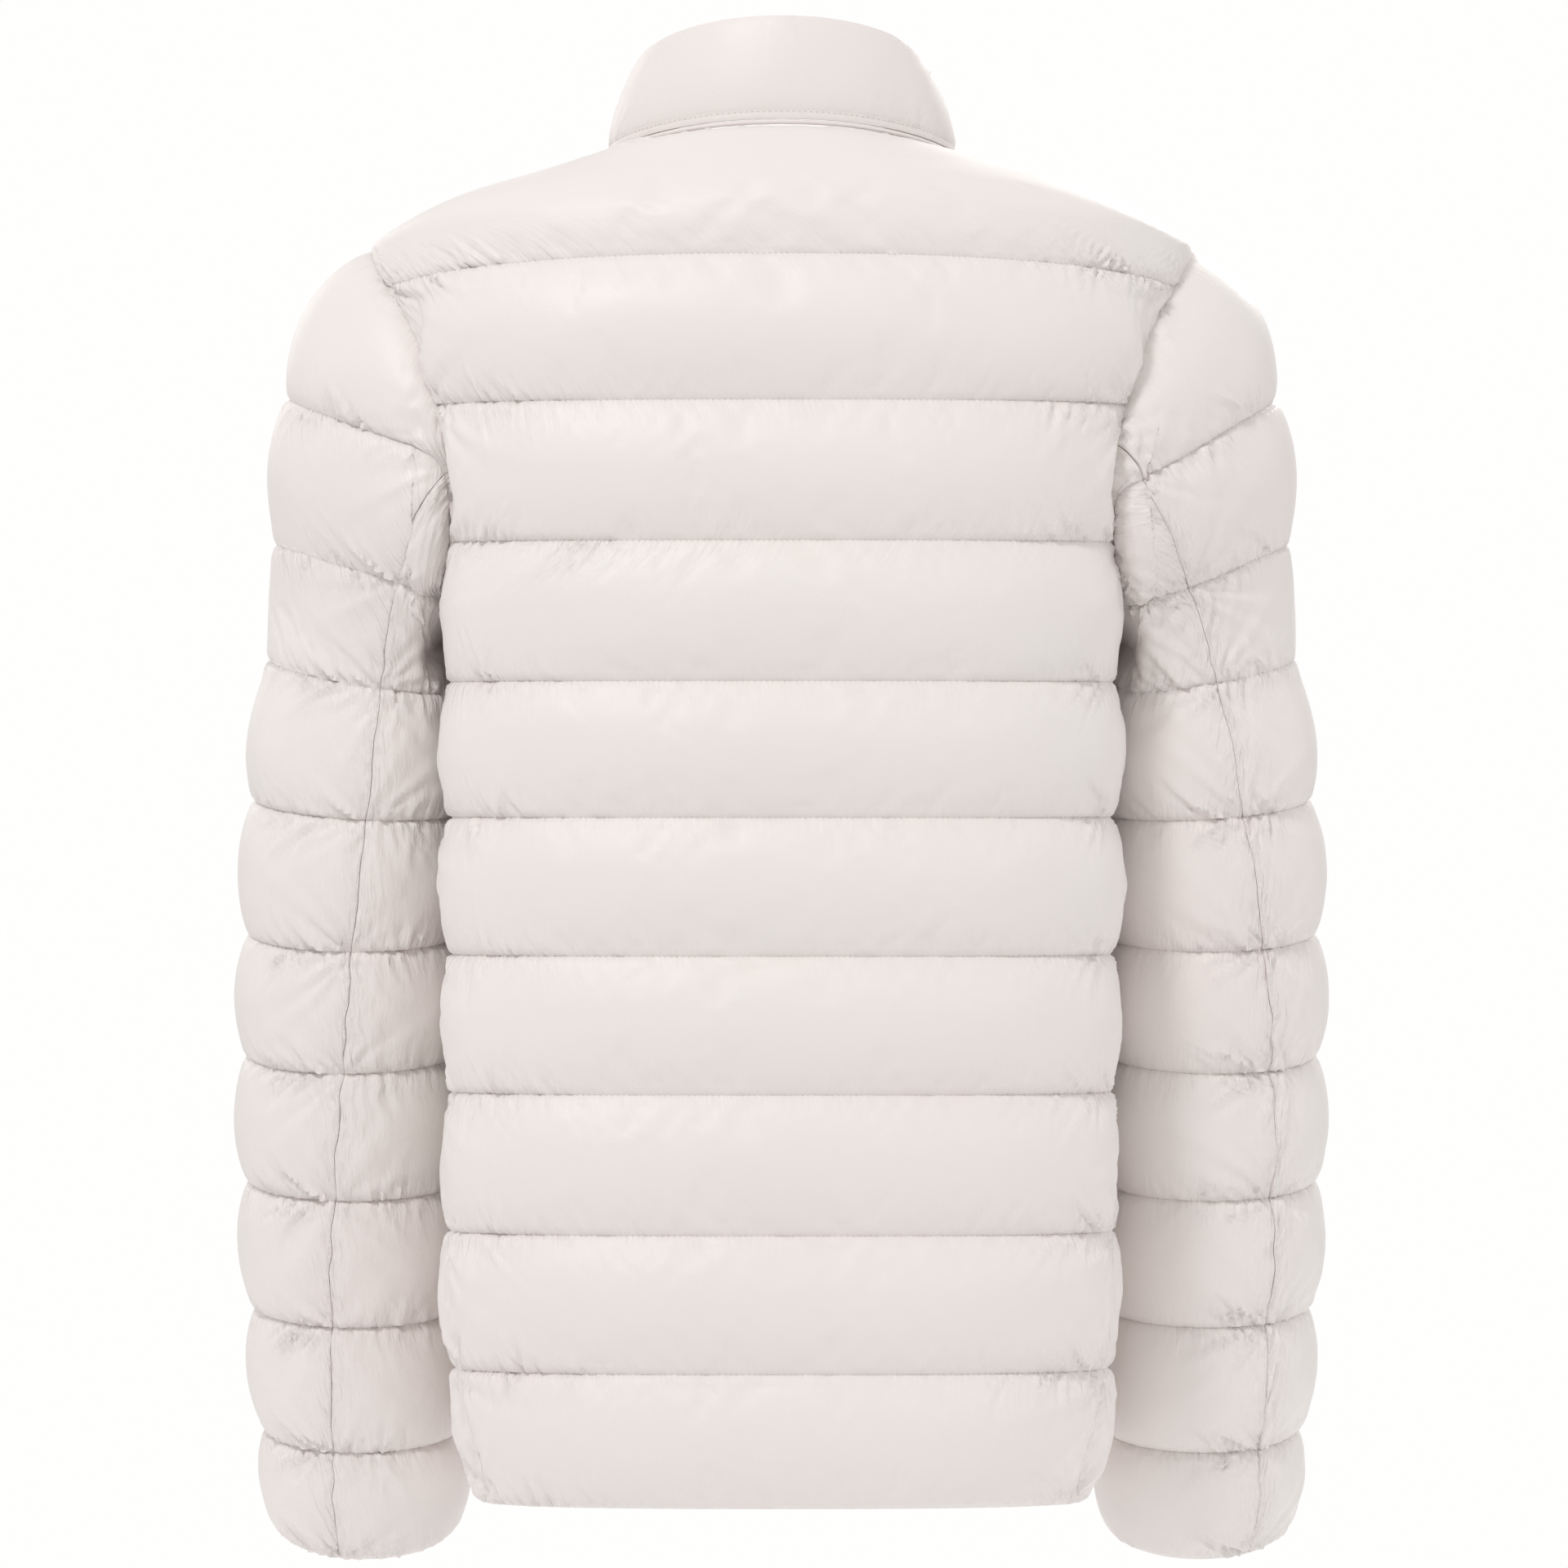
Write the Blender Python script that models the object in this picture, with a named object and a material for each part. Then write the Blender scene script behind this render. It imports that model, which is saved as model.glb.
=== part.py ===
"""A padded jacket with a stand collar, hollow and open at neck, hem and cuffs, as it hangs on a wearer.

Its front faces -Y and its back +Y, and +X is the wearer's left. The origin is the middle of the back of the
neckline. Each panel is one padded wall: smooth inside, and puffed outside between its quilt lines.
"""

import bisect
import math

import bmesh
import bpy
import numpy as np

MM = 0.001

# Driving dimensions, in millimetres unless said.
SEAM_GAP = 0.3
HALF_WALL = 1.0  # half of the wall at a quilt line or an edge
PUFF = 8.0  # how far a baffle stands proud of its quilt lines
EDGE_TAPER = 16.0  # distance over which a panel's padding thins towards its edges
BAFFLE_STEPS = (0.0, 0.24, 0.76)  # where the rows of points lie in one baffle
FRONT_EDGE = 7.0  # half of the opening that the zip fills
SHOULDER_SEAM_FORWARD = 12.0

# The body's size chart, from the neckline (row 0) past the quilt lines (1 to 9) to the hem (10). Each row gives
# the height at the side, half width, depth to the back and to the front, rise of the row at the middle back,
# its drop at the middle front, how much wider the back is than the front, and how square the section is.
BODY_CHART = (
    (0.00, -15, 88, 71, 82, 15, 62, 0.00, 2.1),
    (0.35, -37, 137, 91, 102, 15, 64, 0.02, 2.1),
    (0.72, -61, 208, 110, 117, 17, 59, 0.04, 2.2),
    (1.00, -84, 203, 117, 122, 18, 44, 0.06, 2.4),
    (2.00, -142, 178, 124, 128, 2, 6, 0.12, 2.8),
    (3.00, -211, 167, 127, 131, 0, 0, 0.12, 2.8),
    (4.00, -282, 164, 127, 131, 0, 0, 0.12, 2.8),
    (5.00, -351, 163, 126, 130, 0, 0, 0.12, 2.8),
    (6.00, -421, 163, 125, 129, 0, 0, 0.12, 2.8),
    (7.00, -491, 163, 125, 129, 0, 0, 0.12, 2.8),
    (8.00, -562, 164, 125, 129, 0, 0, 0.12, 2.8),
    (9.00, -632, 162, 123, 128, 0, 0, 0.12, 2.7),
    (10.0, -700, 150, 116, 120, 0, 0, 0.12, 2.6),
)
SHOULDER_TIP_ROW = 0.72
HEM_ROW = 10
FRONT_FIRST_QUILT_ROW = 2

# The armhole, seen from the side, is an ellipse from the shoulder tip to the underarm.
ARMHOLE_TOP = -61.0
ARMHOLE_BOTTOM = -246.0
ARMHOLE_HALF_BACK = 76.0
ARMHOLE_HALF_FRONT = 72.0

# The side seam lies towards the back, further at the hem than at the underarm.
SIDE_SEAM_TOP = 8.0
SIDE_SEAM_HEM = 62.0

# The sleeve's size chart, from quilt line 3 (row 3) to the cuff (row 10): the ring's centre out from the middle,
# forward and down, its half width, its half depth, and its lean to the side and to the front in degrees.
SLEEVE_CHART = (
    (3.0, 212, 20, -278, 51, 50, 9, 7),
    (4.0, 216, 29, -345, 54, 52, 3, 8),
    (5.0, 219, 39, -411, 54, 52, 0, 10),
    (6.0, 220, 50, -473, 54, 51, -1, 11),
    (7.0, 221, 62, -539, 53, 50, 0, 11),
    (8.0, 220, 74, -605, 51, 48, 0, 11),
    (9.0, 218, 86, -669, 48, 46, 0, 13),
    (10.0, 216, 96, -719, 44, 41, 0, 23),
)
CAP_QUILT_LINES = (0.36, 0.69)  # lines 1 and 2, as shares of the way from the armhole to line 3
CAP_STEPS = (0.0, 0.09, 0.27, 0.36, 0.44, 0.61, 0.69, 0.77, 0.93)
CAP_ROW = 3
CUFF_ROW = 10
SLEEVE_LIFT = 2.5  # the sleeve's edge lies this far outside the armhole's
ELBOW_SEAM = {1: (104.0, 74.0), -1: (96.0, 56.0)}  # angle from the outer side, at the armhole and at the cuff
FRONT_SEAM = (252.0, 262.0)

# Where the body's side gives way to the sleeve that hangs against it.
DENT_TOP = -190.0
DENT_FULL = -300.0
SLEEVE_CLEARANCE = 19.0
UNDERARM_SPREAD = 52.0
BODY_CLOSE_ROW = 1.6  # below this row the sleeve's top runs close beside the body

# The collar, from its seam to its top edge: height at the side, half width, depth back and front, rise, drop.
COLLAR_BASE_LIFT = 4.2
COLLAR_TOP = (33, 74, 62, 78, 24, 41)
COLLAR_STEPS = (0.0, 0.1, 0.45, 0.85, 1.0)
COLLAR_HALF_WALL = 1.6
COLLAR_PUFF = 2.2
PIPING_RADIUS = 1.1
PIPING_LIFT = 2.6

# The zip.
TAPE_INSET = 3.6
TAPE_HALF_THICKNESS = 0.3
TAPE_INNER = 2.9
TAPE_OUTER = 11.0
CHAIN_HALF_WIDTH = 2.4
CHAIN_HALF_THICKNESS = 1.2
CHAIN_SHORT_OF_TOP = 8.0
SLIDER_HALF_WIDTH = 4.2
SLIDER_HALF_LENGTH = 6.0
NECK_START = 2.3  # where the slider's neck begins, above its middle
PULL_LENGTH = 24.0

CREAM = (0.86, 0.825, 0.795)


def clear_scene():
    for obj in list(bpy.data.objects):
        bpy.data.objects.remove(obj, do_unlink=True)


def material(name, color, roughness, metallic=0.0):
    made = bpy.data.materials.new(name)
    made.use_nodes = True
    shader = made.node_tree.nodes["Principled BSDF"]
    shader.inputs["Base Color"].default_value = (*color, 1.0)
    shader.inputs["Roughness"].default_value = roughness
    shader.inputs["Metallic"].default_value = metallic
    made.diffuse_color = (*color, 1.0)
    return made


def chart_row(chart, row):
    """The chart's sizes at a row, by a smooth curve through its stations that never overshoots them."""
    rows = [line[0] for line in chart]
    i = min(max(bisect.bisect_right(rows, row) - 1, 0), len(rows) - 2)
    left, right = np.array(chart[i][1:], float), np.array(chart[i + 1][1:], float)
    width = rows[i + 1] - rows[i]
    slope = (right - left) / width
    before = after = slope
    if i > 0:
        before = gentle(slope, (left - np.array(chart[i - 1][1:], float)) / (rows[i] - rows[i - 1]))
    if i < len(rows) - 2:
        after = gentle(slope, (np.array(chart[i + 2][1:], float) - right) / (rows[i + 2] - rows[i + 1]))
    t = (row - rows[i]) / width
    return hermite(left, before * width, right, after * width, t)


def gentle(a, b):
    """The slope between two stretches: none where they turn back, and else their harmonic mean."""
    same = a * b > 0
    return np.where(same, 2 * a * b / np.where(same, a + b, 1.0), 0.0)


def hermite(start, start_run, end, end_run, t):
    t2, t3 = t * t, t * t * t
    return (
        (2 * t3 - 3 * t2 + 1) * start
        + (t3 - 2 * t2 + t) * start_run
        + (3 * t2 - 2 * t3) * end
        + (t3 - t2) * end_run
    )


def smooth(t):
    t = min(max(t, 0.0), 1.0)
    return t * t * (3 - 2 * t)


def signed_power(value, power):
    return math.copysign(abs(value) ** power, value)


def ring_point(sizes, angle, wider_back=0.0, square=2.1, sag_power=1.6):
    """A point of a body or collar ring. Angle 0 is the wearer's left side and 90 degrees the middle back."""
    height, half_width, back, front, rise, drop = sizes
    power = 2 / square
    across = signed_power(math.cos(angle), power)
    along = signed_power(math.sin(angle), power)
    x = half_width * across * (1 + wider_back * along)
    if along > 0:
        return np.array([x, back * along, height + rise * along**sag_power])
    return np.array([x, front * along, height - drop * (-along) ** sag_power])


def ring_angle(depth, reach, square):
    """The angle, on the left side, at which a ring with this reach lies at this depth."""
    share = min(max(depth / reach, -1.0), 1.0)
    return math.asin(signed_power(share, square / 2))


def sleeve_ring(row):
    x, forward, z, half_width, half_depth, lean_side, lean_front = chart_row(SLEEVE_CHART, row)
    return np.array([x, -forward, z]), half_width, half_depth, math.radians(lean_side), math.radians(lean_front)


def sleeve_centre_at(z):
    """The sleeve's centre and half width at a height."""
    low, high = SLEEVE_CHART[0][0], SLEEVE_CHART[-1][0]
    for _ in range(30):
        middle = (low + high) / 2
        if sleeve_ring(middle)[0][2] > z:
            low = middle
        else:
            high = middle
    centre, half_width, *_ = sleeve_ring(low)
    return centre, half_width


def make_room(point):
    """Moves a point of the body's side clear of the sleeve that hangs beside it."""
    side = math.copysign(1.0, point[0])
    amount = smooth((DENT_TOP - point[2]) / (DENT_TOP - DENT_FULL))
    if amount == 0.0:
        return point
    centre, half_width = sleeve_centre_at(point[2])
    away = np.array([point[0] * side - centre[0], point[1] - centre[1]])
    distance = np.linalg.norm(away)
    reach = (half_width + SLEEVE_CLEARANCE) * amount
    if distance >= reach:
        return point
    away *= reach / distance
    return np.array([side * (centre[0] + away[0]), centre[1] + away[1], point[2]])


def body_point(row, angle):
    *sizes, wider_back, square = chart_row(BODY_CHART, row)
    return make_room(ring_point(sizes, angle, wider_back, square))


def body_angle(row, depth):
    _, _, back, front, _, _, _, square = chart_row(BODY_CHART, row)
    return ring_angle(depth, back if depth > 0 else front, square)


def body_side_height(row):
    return chart_row(BODY_CHART, row)[0]


def row_at_height(z):
    low, high = 0.0, float(HEM_ROW)
    for _ in range(40):
        middle = (low + high) / 2
        if body_side_height(middle) > z:
            low = middle
        else:
            high = middle
    return (low + high) / 2


UNDERARM_ROW = row_at_height(ARMHOLE_BOTTOM)


def armhole_turn(row):
    """How far round the armhole this row meets it, from 0 at the shoulder tip to pi at the underarm."""
    middle = (ARMHOLE_TOP + ARMHOLE_BOTTOM) / 2
    half = (ARMHOLE_TOP - ARMHOLE_BOTTOM) / 2
    return math.acos(min(max((body_side_height(row) - middle) / half, -1.0), 1.0))


def seam_depth(row, back):
    """Where a row ends at the shoulder seam, the armhole or the side seam, as a depth. Back is +1 and front -1."""
    if row <= SHOULDER_TIP_ROW:
        return -SHOULDER_SEAM_FORWARD
    if row < UNDERARM_ROW:
        turn = armhole_turn(row)
        level = -SHOULDER_SEAM_FORWARD + (SIDE_SEAM_TOP + SHOULDER_SEAM_FORWARD) * (1 - math.cos(turn)) / 2
        return level + (ARMHOLE_HALF_BACK if back > 0 else -ARMHOLE_HALF_FRONT) * math.sin(turn)
    down = (row - UNDERARM_ROW) / (HEM_ROW - UNDERARM_ROW)
    return SIDE_SEAM_TOP + (SIDE_SEAM_HEM - SIDE_SEAM_TOP) * smooth(down)


def body_rows():
    """Every row of points on the body, with the shoulder tip and the underarm among them."""
    rows = [0.0, 0.2, 0.46, SHOULDER_TIP_ROW, 0.86]
    rows += [line + step for line in range(1, HEM_ROW) for step in BAFFLE_STEPS]
    rows += [float(HEM_ROW), UNDERARM_ROW]
    rows = sorted(set(rows))
    return [row for row in rows if row == UNDERARM_ROW or abs(row - UNDERARM_ROW) > 0.12]


def quilt_puff(row, first_line=1):
    """0 on a quilt line, 1 where the baffle is fullest."""
    lines = [0] + list(range(first_line, HEM_ROW + 1))
    above = max(line for line in lines if line <= row + 1e-9)
    below = min(line for line in lines if line > above) if above < HEM_ROW else above
    if below == above:
        return 0.0
    return math.sin(math.pi * (row - above) / (below - above)) ** 0.55


def unit(vectors):
    return vectors / np.maximum(np.linalg.norm(vectors, axis=-1, keepdims=True), 1e-9)


def ring_normals(rings):
    """Outward unit normals of a stack of closed rings, top to bottom and anticlockwise from above."""
    along = np.roll(rings, -1, axis=1) - np.roll(rings, 1, axis=1)
    return unit(np.cross(np.gradient(rings, axis=0), along))


def edge_share(grid):
    """0 at a row's two ends, 1 once a point is well inside the panel."""
    steps = np.linalg.norm(np.diff(grid, axis=1), axis=2)
    from_start = np.concatenate([np.zeros((len(grid), 1)), np.cumsum(steps, axis=1)], axis=1)
    from_end = from_start[:, -1:] - from_start
    nearest = np.minimum(from_start, from_end)
    return 1 - np.exp(-((nearest / EDGE_TAPER) ** 1.5))


def underarm_share(grid):
    """Less padding round the underarm, where the body and the sleeve press on each other."""
    back = (grid[:, :, 1] - SIDE_SEAM_TOP) / UNDERARM_SPREAD
    down = (grid[:, :, 2] - ARMHOLE_BOTTOM) / UNDERARM_SPREAD
    near_side = np.abs(grid[:, :, 0]) > 130
    return 1 - 0.85 * near_side * np.exp(-(back**2) - down**2)


def wall_mesh(name, outer, inner):
    """One closed wall from two grids of points, with a rim round its four edges."""
    rows, columns = outer.shape[:2]
    mesh = bmesh.new()
    layers = [
        [[mesh.verts.new(point * MM) for point in line] for line in grid] for grid in (outer, inner)
    ]
    outside, inside = layers
    for i in range(rows - 1):
        for j in range(columns - 1):
            mesh.faces.new((outside[i][j], outside[i][j + 1], outside[i + 1][j + 1], outside[i + 1][j]))
            mesh.faces.new((inside[i][j], inside[i + 1][j], inside[i + 1][j + 1], inside[i][j + 1]))
    for i in range(rows - 1):
        mesh.faces.new((outside[i][0], outside[i + 1][0], inside[i + 1][0], inside[i][0]))
        mesh.faces.new((outside[i][-1], inside[i][-1], inside[i + 1][-1], outside[i + 1][-1]))
    for j in range(columns - 1):
        mesh.faces.new((outside[0][j], inside[0][j], inside[0][j + 1], outside[0][j + 1]))
        mesh.faces.new((outside[-1][j], outside[-1][j + 1], inside[-1][j + 1], inside[-1][j]))
    return finish(name, mesh)


def finish(name, mesh):
    bmesh.ops.triangulate(mesh, faces=mesh.faces)
    bmesh.ops.recalc_face_normals(mesh, faces=mesh.faces)
    data = bpy.data.meshes.new(name)
    mesh.to_mesh(data)
    mesh.free()
    data.shade_smooth()
    data.set_sharp_from_angle(angle=math.radians(40))
    obj = bpy.data.objects.new(name, data)
    bpy.context.scene.collection.objects.link(obj)
    return obj


def padded_wall(name, grid, normals, puff, finish_material):
    share = puff * edge_share(grid) * underarm_share(grid)
    outer = grid + normals * (HALF_WALL + PUFF * share)[:, :, None]
    inner = grid - normals * HALF_WALL
    obj = wall_mesh(name, outer, inner)
    obj.data.materials.append(finish_material)
    return obj


def trim_ends(angles, row, gap=SEAM_GAP / 2):
    """Draws a row's two ends in by half of the seam gap."""
    first = np.linalg.norm(body_point(row, angles[0]) - body_point(row, angles[1]))
    last = np.linalg.norm(body_point(row, angles[-1]) - body_point(row, angles[-2]))
    angles[0] += (angles[1] - angles[0]) * gap / first
    angles[-1] += (angles[-2] - angles[-1]) * gap / last
    return angles


def body_normal(row, angle):
    turn, climb = 0.01, 0.02
    along = body_point(row, angle + turn) - body_point(row, angle - turn)
    down = body_point(min(row + climb, HEM_ROW), angle) - body_point(max(row - climb, 0.0), angle)
    return unit(np.cross(down, along))


def body_grid(rows, angles_of_row):
    """The points and outward directions of one panel."""
    angles = [angles_of_row(row) for row in rows]
    points = [[body_point(row, angle) for angle in line] for row, line in zip(rows, angles)]
    normals = [[body_normal(row, angle) for angle in line] for row, line in zip(rows, angles)]
    return np.array(points), np.array(normals)


def back_angles(row, columns=13):
    start = body_angle(row, seam_depth(row, 1))
    return trim_ends(list(np.linspace(start, math.pi - start, columns)), row)


def front_angles(row, side, columns=8):
    """From the seam at the side to the zip, for the left front (+1) or the right front (-1)."""
    start = body_angle(row, seam_depth(row, -1))
    _, half_width, _, _, _, _, wider_back, square = chart_row(BODY_CHART, row)
    at_zip = (FRONT_EDGE / (half_width * (1 - wider_back))) ** (square / 2)
    end = -math.pi / 2 + at_zip
    left = trim_ends(list(np.linspace(start, end, columns)), row)
    return left if side > 0 else [math.pi - angle for angle in left]


def make_body(finishes):
    rows = body_rows()
    puff = np.array([[quilt_puff(row)] for row in rows])
    padded_wall("back_panel", *body_grid(rows, back_angles), puff, finishes["shell"])
    front_puff = np.array([[quilt_puff(row, FRONT_FIRST_QUILT_ROW)] for row in rows])
    for side, name in ((1, "front_left"), (-1, "front_right")):
        panel = body_grid(rows, lambda row: front_angles(row, side))
        padded_wall(name, *panel, front_puff, finishes["shell"])


def armhole_point(turn_row, back):
    """The body's edge at the armhole, and the body's outward direction there."""
    angle = body_angle(turn_row, seam_depth(turn_row, back))
    return body_point(turn_row, angle), body_normal(turn_row, angle)


def sleeve_ring_point(row, turn):
    centre, half_width, half_depth, lean_side, lean_front = sleeve_ring(row)
    out, back = half_width * math.cos(turn), half_depth * math.sin(turn)
    drop = -out * math.sin(lean_side) + back * math.sin(lean_front)
    return centre + np.array([out * math.cos(lean_side), back * math.cos(lean_front), -drop])


def sleeve_point(row, turn, edge, outward):
    """A point of the left sleeve. Rows 0 to 3 run from the armhole's edge down to quilt line 3."""
    if row >= CAP_ROW:
        return sleeve_ring_point(row, turn)
    end = sleeve_ring_point(CAP_ROW, turn)
    end_run = (sleeve_ring_point(CAP_ROW + 0.1, turn) - end) * 10
    top = (1 + math.cos(turn)) / 2
    away = top * np.array([0.78, 0.0, -0.62]) + (1 - top) * np.array([0.35, 0.0, -0.94])
    away = away + np.array([0.25, 0.22 * math.sin(turn), 0.0]) * abs(math.sin(turn))
    away /= np.linalg.norm(away)
    span = np.linalg.norm(end - edge)
    end_run *= span / np.linalg.norm(end_run)
    share = row / CAP_ROW
    point = hermite(edge + outward * SLEEVE_LIFT, away * span, end, end_run, share)
    return clear_of_body(point, share * span)


def clear_of_body(point, travelled):
    """Keeps the top of the sleeve outside the body's side, further out the further it is from the armhole."""
    if travelled == 0.0 or point[2] > body_side_height(BODY_CLOSE_ROW):
        return point
    row = row_at_height(point[2])
    side = body_point(row, body_angle(row, point[1]))
    room = SLEEVE_LIFT + (SLEEVE_CLEARANCE - SLEEVE_LIFT) * (1 - math.exp(-travelled / 14))
    return np.array([max(point[0], side[0] + room), point[1], point[2]])


def sleeve_rows():
    rows = [CAP_ROW * step for step in CAP_STEPS]
    rows += [line + step for line in range(CAP_ROW, CUFF_ROW) for step in BAFFLE_STEPS]
    return rows + [float(CUFF_ROW)]


def sleeve_puff(row):
    lines = [0.0] + [CAP_ROW * line for line in CAP_QUILT_LINES] + list(range(CAP_ROW, CUFF_ROW + 1))
    above = max(line for line in lines if line <= row + 1e-9)
    if above >= CUFF_ROW:
        return 0.0
    below = min(line for line in lines if line > above + 1e-9)
    return math.sin(math.pi * (row - above) / (below - above)) ** 0.55


def armhole_stations():
    """(turn, row, back) round the armhole, at the body's own rows, so that both edges share their points."""
    inside = [row for row in body_rows() if SHOULDER_TIP_ROW <= row <= UNDERARM_ROW]
    back = [(armhole_turn(row), row, 1) for row in inside]
    front = [(2 * math.pi - armhole_turn(row), row, -1) for row in reversed(inside[1:-1])]
    return back + front


def seam_turn(row, degrees_ends):
    start, end = degrees_ends
    return math.radians(start + (end - start) * smooth(row / CUFF_ROW))


def sleeve_turns(row, stations, side):
    """The stations' turns, shifted so that the two seams keep to columns of their own."""
    elbow = seam_turn(row, ELBOW_SEAM[side])
    front = seam_turn(row, FRONT_SEAM)
    elbow_top = stations[seam_columns(stations, side)[0]][0]
    front_top = stations[seam_columns(stations, side)[1]][0]
    settle = smooth(row / CAP_ROW)
    known = [0.0, elbow_top, front_top, 2 * math.pi]
    moved = [
        0.0,
        elbow_top + (elbow - elbow_top) * settle,
        front_top + (front - front_top) * settle,
        2 * math.pi,
    ]
    return [float(np.interp(turn, known, moved)) for turn, _, _ in stations]


def seam_columns(stations, side):
    turns = [turn for turn, _, _ in stations]
    targets = (math.radians(ELBOW_SEAM[side][0]), math.radians(FRONT_SEAM[0]))
    return [min(range(len(turns)), key=lambda i: abs(turns[i] - target)) for target in targets]


def make_sleeve(side, finishes):
    word = "left" if side > 0 else "right"
    stations = armhole_stations()
    edges = [armhole_point(row, back) for _, row, back in stations]
    rows = sleeve_rows()
    ring = []
    for row in rows:
        turns = sleeve_turns(row, stations, side)
        ring.append([sleeve_point(row, turn, *edge) for turn, edge in zip(turns, edges)])
    ring = np.array(ring)
    normals = ring_normals(ring)
    for grid in (ring, normals):
        grid[:, :, 0] *= side
    elbow, front = seam_columns(stations, side)
    count = len(stations)
    under = list(range(elbow, front + 1))
    outer = [column % count for column in range(front, count + elbow + 1)]
    puff = np.array([[sleeve_puff(row)] for row in rows])
    for name, columns in ((f"sleeve_outer_{word}", outer), (f"sleeve_under_{word}", under)):
        grid = draw_in_ends(ring[:, columns, :])
        padded_wall(name, grid, normals[:, columns, :], puff, finishes["shell"])


def draw_in_ends(grid, gap=SEAM_GAP / 2):
    """Draws the ends of each row in by half of the seam gap."""
    grid = grid.copy()
    for end, inside in ((0, 1), (-1, -2)):
        step = grid[:, inside] - grid[:, end]
        grid[:, end] += step * gap / np.linalg.norm(step, axis=1, keepdims=True)
    return grid


def neck_angles():
    """Angles round the neckline from the zip at the left, over the back, to the zip at the right."""
    left = list(reversed(front_angles(0.0, 1)))
    back = back_angles(0.0)
    return left[:-1] + back + [math.pi - angle for angle in reversed(left[:-1])]


def collar_point(angle, rise):
    base = body_point(0.0, angle) + np.array([0.0, 0.0, COLLAR_BASE_LIFT])
    top = ring_point(COLLAR_TOP, angle, sag_power=1.2)
    top[0] *= max(1.0, FRONT_EDGE / max(abs(top[0]), 1e-6))
    stand = np.array([0.0, 0.0, 26.0])
    return hermite(base, stand * 0.9, top, (top - base) * 1.05, rise)


def make_collar(finishes):
    angles = neck_angles()
    grid = np.array([[collar_point(angle, rise) for angle in angles] for rise in reversed(COLLAR_STEPS)])
    normals = unit(np.cross(np.gradient(grid, axis=0), np.gradient(grid, axis=1)))
    puff = np.array([[math.sin(math.pi * rise) ** 0.7] for rise in reversed(COLLAR_STEPS)])
    share = puff * edge_share(grid)
    outer = grid + normals * (COLLAR_HALF_WALL + COLLAR_PUFF * share)[:, :, None]
    obj = wall_mesh("collar", outer, grid - normals * COLLAR_HALF_WALL)
    obj.data.materials.append(finishes["shell"])
    route = [body_point(0.0, angle) + np.array([0, 0, PIPING_LIFT]) for angle in angles]
    make_tube("collar_piping", route, PIPING_RADIUS, finishes["trim"])


def make_tube(name, route, radius, finish_material, sides=6):
    """A closed round strip along a route."""
    mesh = bmesh.new()
    rings = []
    up = np.array([0.0, 0.0, 1.0])
    for i, here in enumerate(route):
        ahead = route[min(i + 1, len(route) - 1)] - route[max(i - 1, 0)]
        across = np.cross(ahead, up)
        across /= np.linalg.norm(across)
        over = np.cross(across, ahead)
        over /= np.linalg.norm(over)
        turns = [2 * math.pi * k / sides for k in range(sides)]
        points = [here + radius * (across * math.cos(turn) + over * math.sin(turn)) for turn in turns]
        rings.append([mesh.verts.new(point * MM) for point in points])
    for ring, following in zip(rings, rings[1:]):
        for k in range(sides):
            mesh.faces.new((ring[k], ring[(k + 1) % sides], following[(k + 1) % sides], following[k]))
    mesh.faces.new(rings[0])
    mesh.faces.new(rings[-1])
    finish(name, mesh).data.materials.append(finish_material)


def zip_route():
    """The zip's middle line from the collar's top edge down to the hem, as (y, z)."""
    middle = -math.pi / 2
    body = [body_point(row, middle) for row in body_rows()]
    neck = [collar_point(middle, rise) for rise in reversed(COLLAR_STEPS) if rise > 0.05]
    return np.array([point[1:] for point in neck + body])


def zip_directions(route):
    """Unit vectors pointing out of the jacket's front at each point of the zip."""
    run = np.gradient(route, axis=0)
    out = np.stack([run[:, 1], -run[:, 0]], axis=1)
    out /= np.linalg.norm(out, axis=1, keepdims=True)
    return np.where(out[:, :1] > 0, -out, out)


def zip_strip(name, route, out, x_range, half_thickness, finish_material):
    """A flat strip along the zip between two distances from the middle."""
    grids = []
    for offset in (half_thickness, -half_thickness):
        line = route + out * (offset - TAPE_INSET)
        grids.append(np.array([[(x, y, z) for x in x_range] for y, z in line]))
    wall_mesh(name, *grids).data.materials.append(finish_material)


def make_zip(finishes):
    route = zip_route()
    out = zip_directions(route)
    for side, word in ((1, "left"), (-1, "right")):
        edges = sorted((side * TAPE_INNER, side * TAPE_OUTER))
        zip_strip(f"zip_tape_{word}", route, out, edges, TAPE_HALF_THICKNESS, finishes["trim"])
    middle = route - out * TAPE_INSET
    chain_route = route.copy()
    chain_route[0] = along(route, CHAIN_SHORT_OF_TOP)
    edges = (-CHAIN_HALF_WIDTH, CHAIN_HALF_WIDTH)
    zip_strip("zip_chain", chain_route, out, edges, CHAIN_HALF_THICKNESS, finishes["zip_teeth"])
    seat = along(middle, CHAIN_SHORT_OF_TOP + NECK_START - 0.5)
    hang = along(middle, CHAIN_SHORT_OF_TOP + PULL_LENGTH) - seat
    make_slider(seat, math.atan2(hang[0], -hang[1]), finishes["zip_metal"])


def along(route, distance):
    """The point this far along a route."""
    steps = np.linalg.norm(np.diff(route, axis=0), axis=1)
    walked = np.concatenate([[0.0], np.cumsum(steps)])
    return np.array([np.interp(distance, walked, route[:, axis]) for axis in range(2)])


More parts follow.
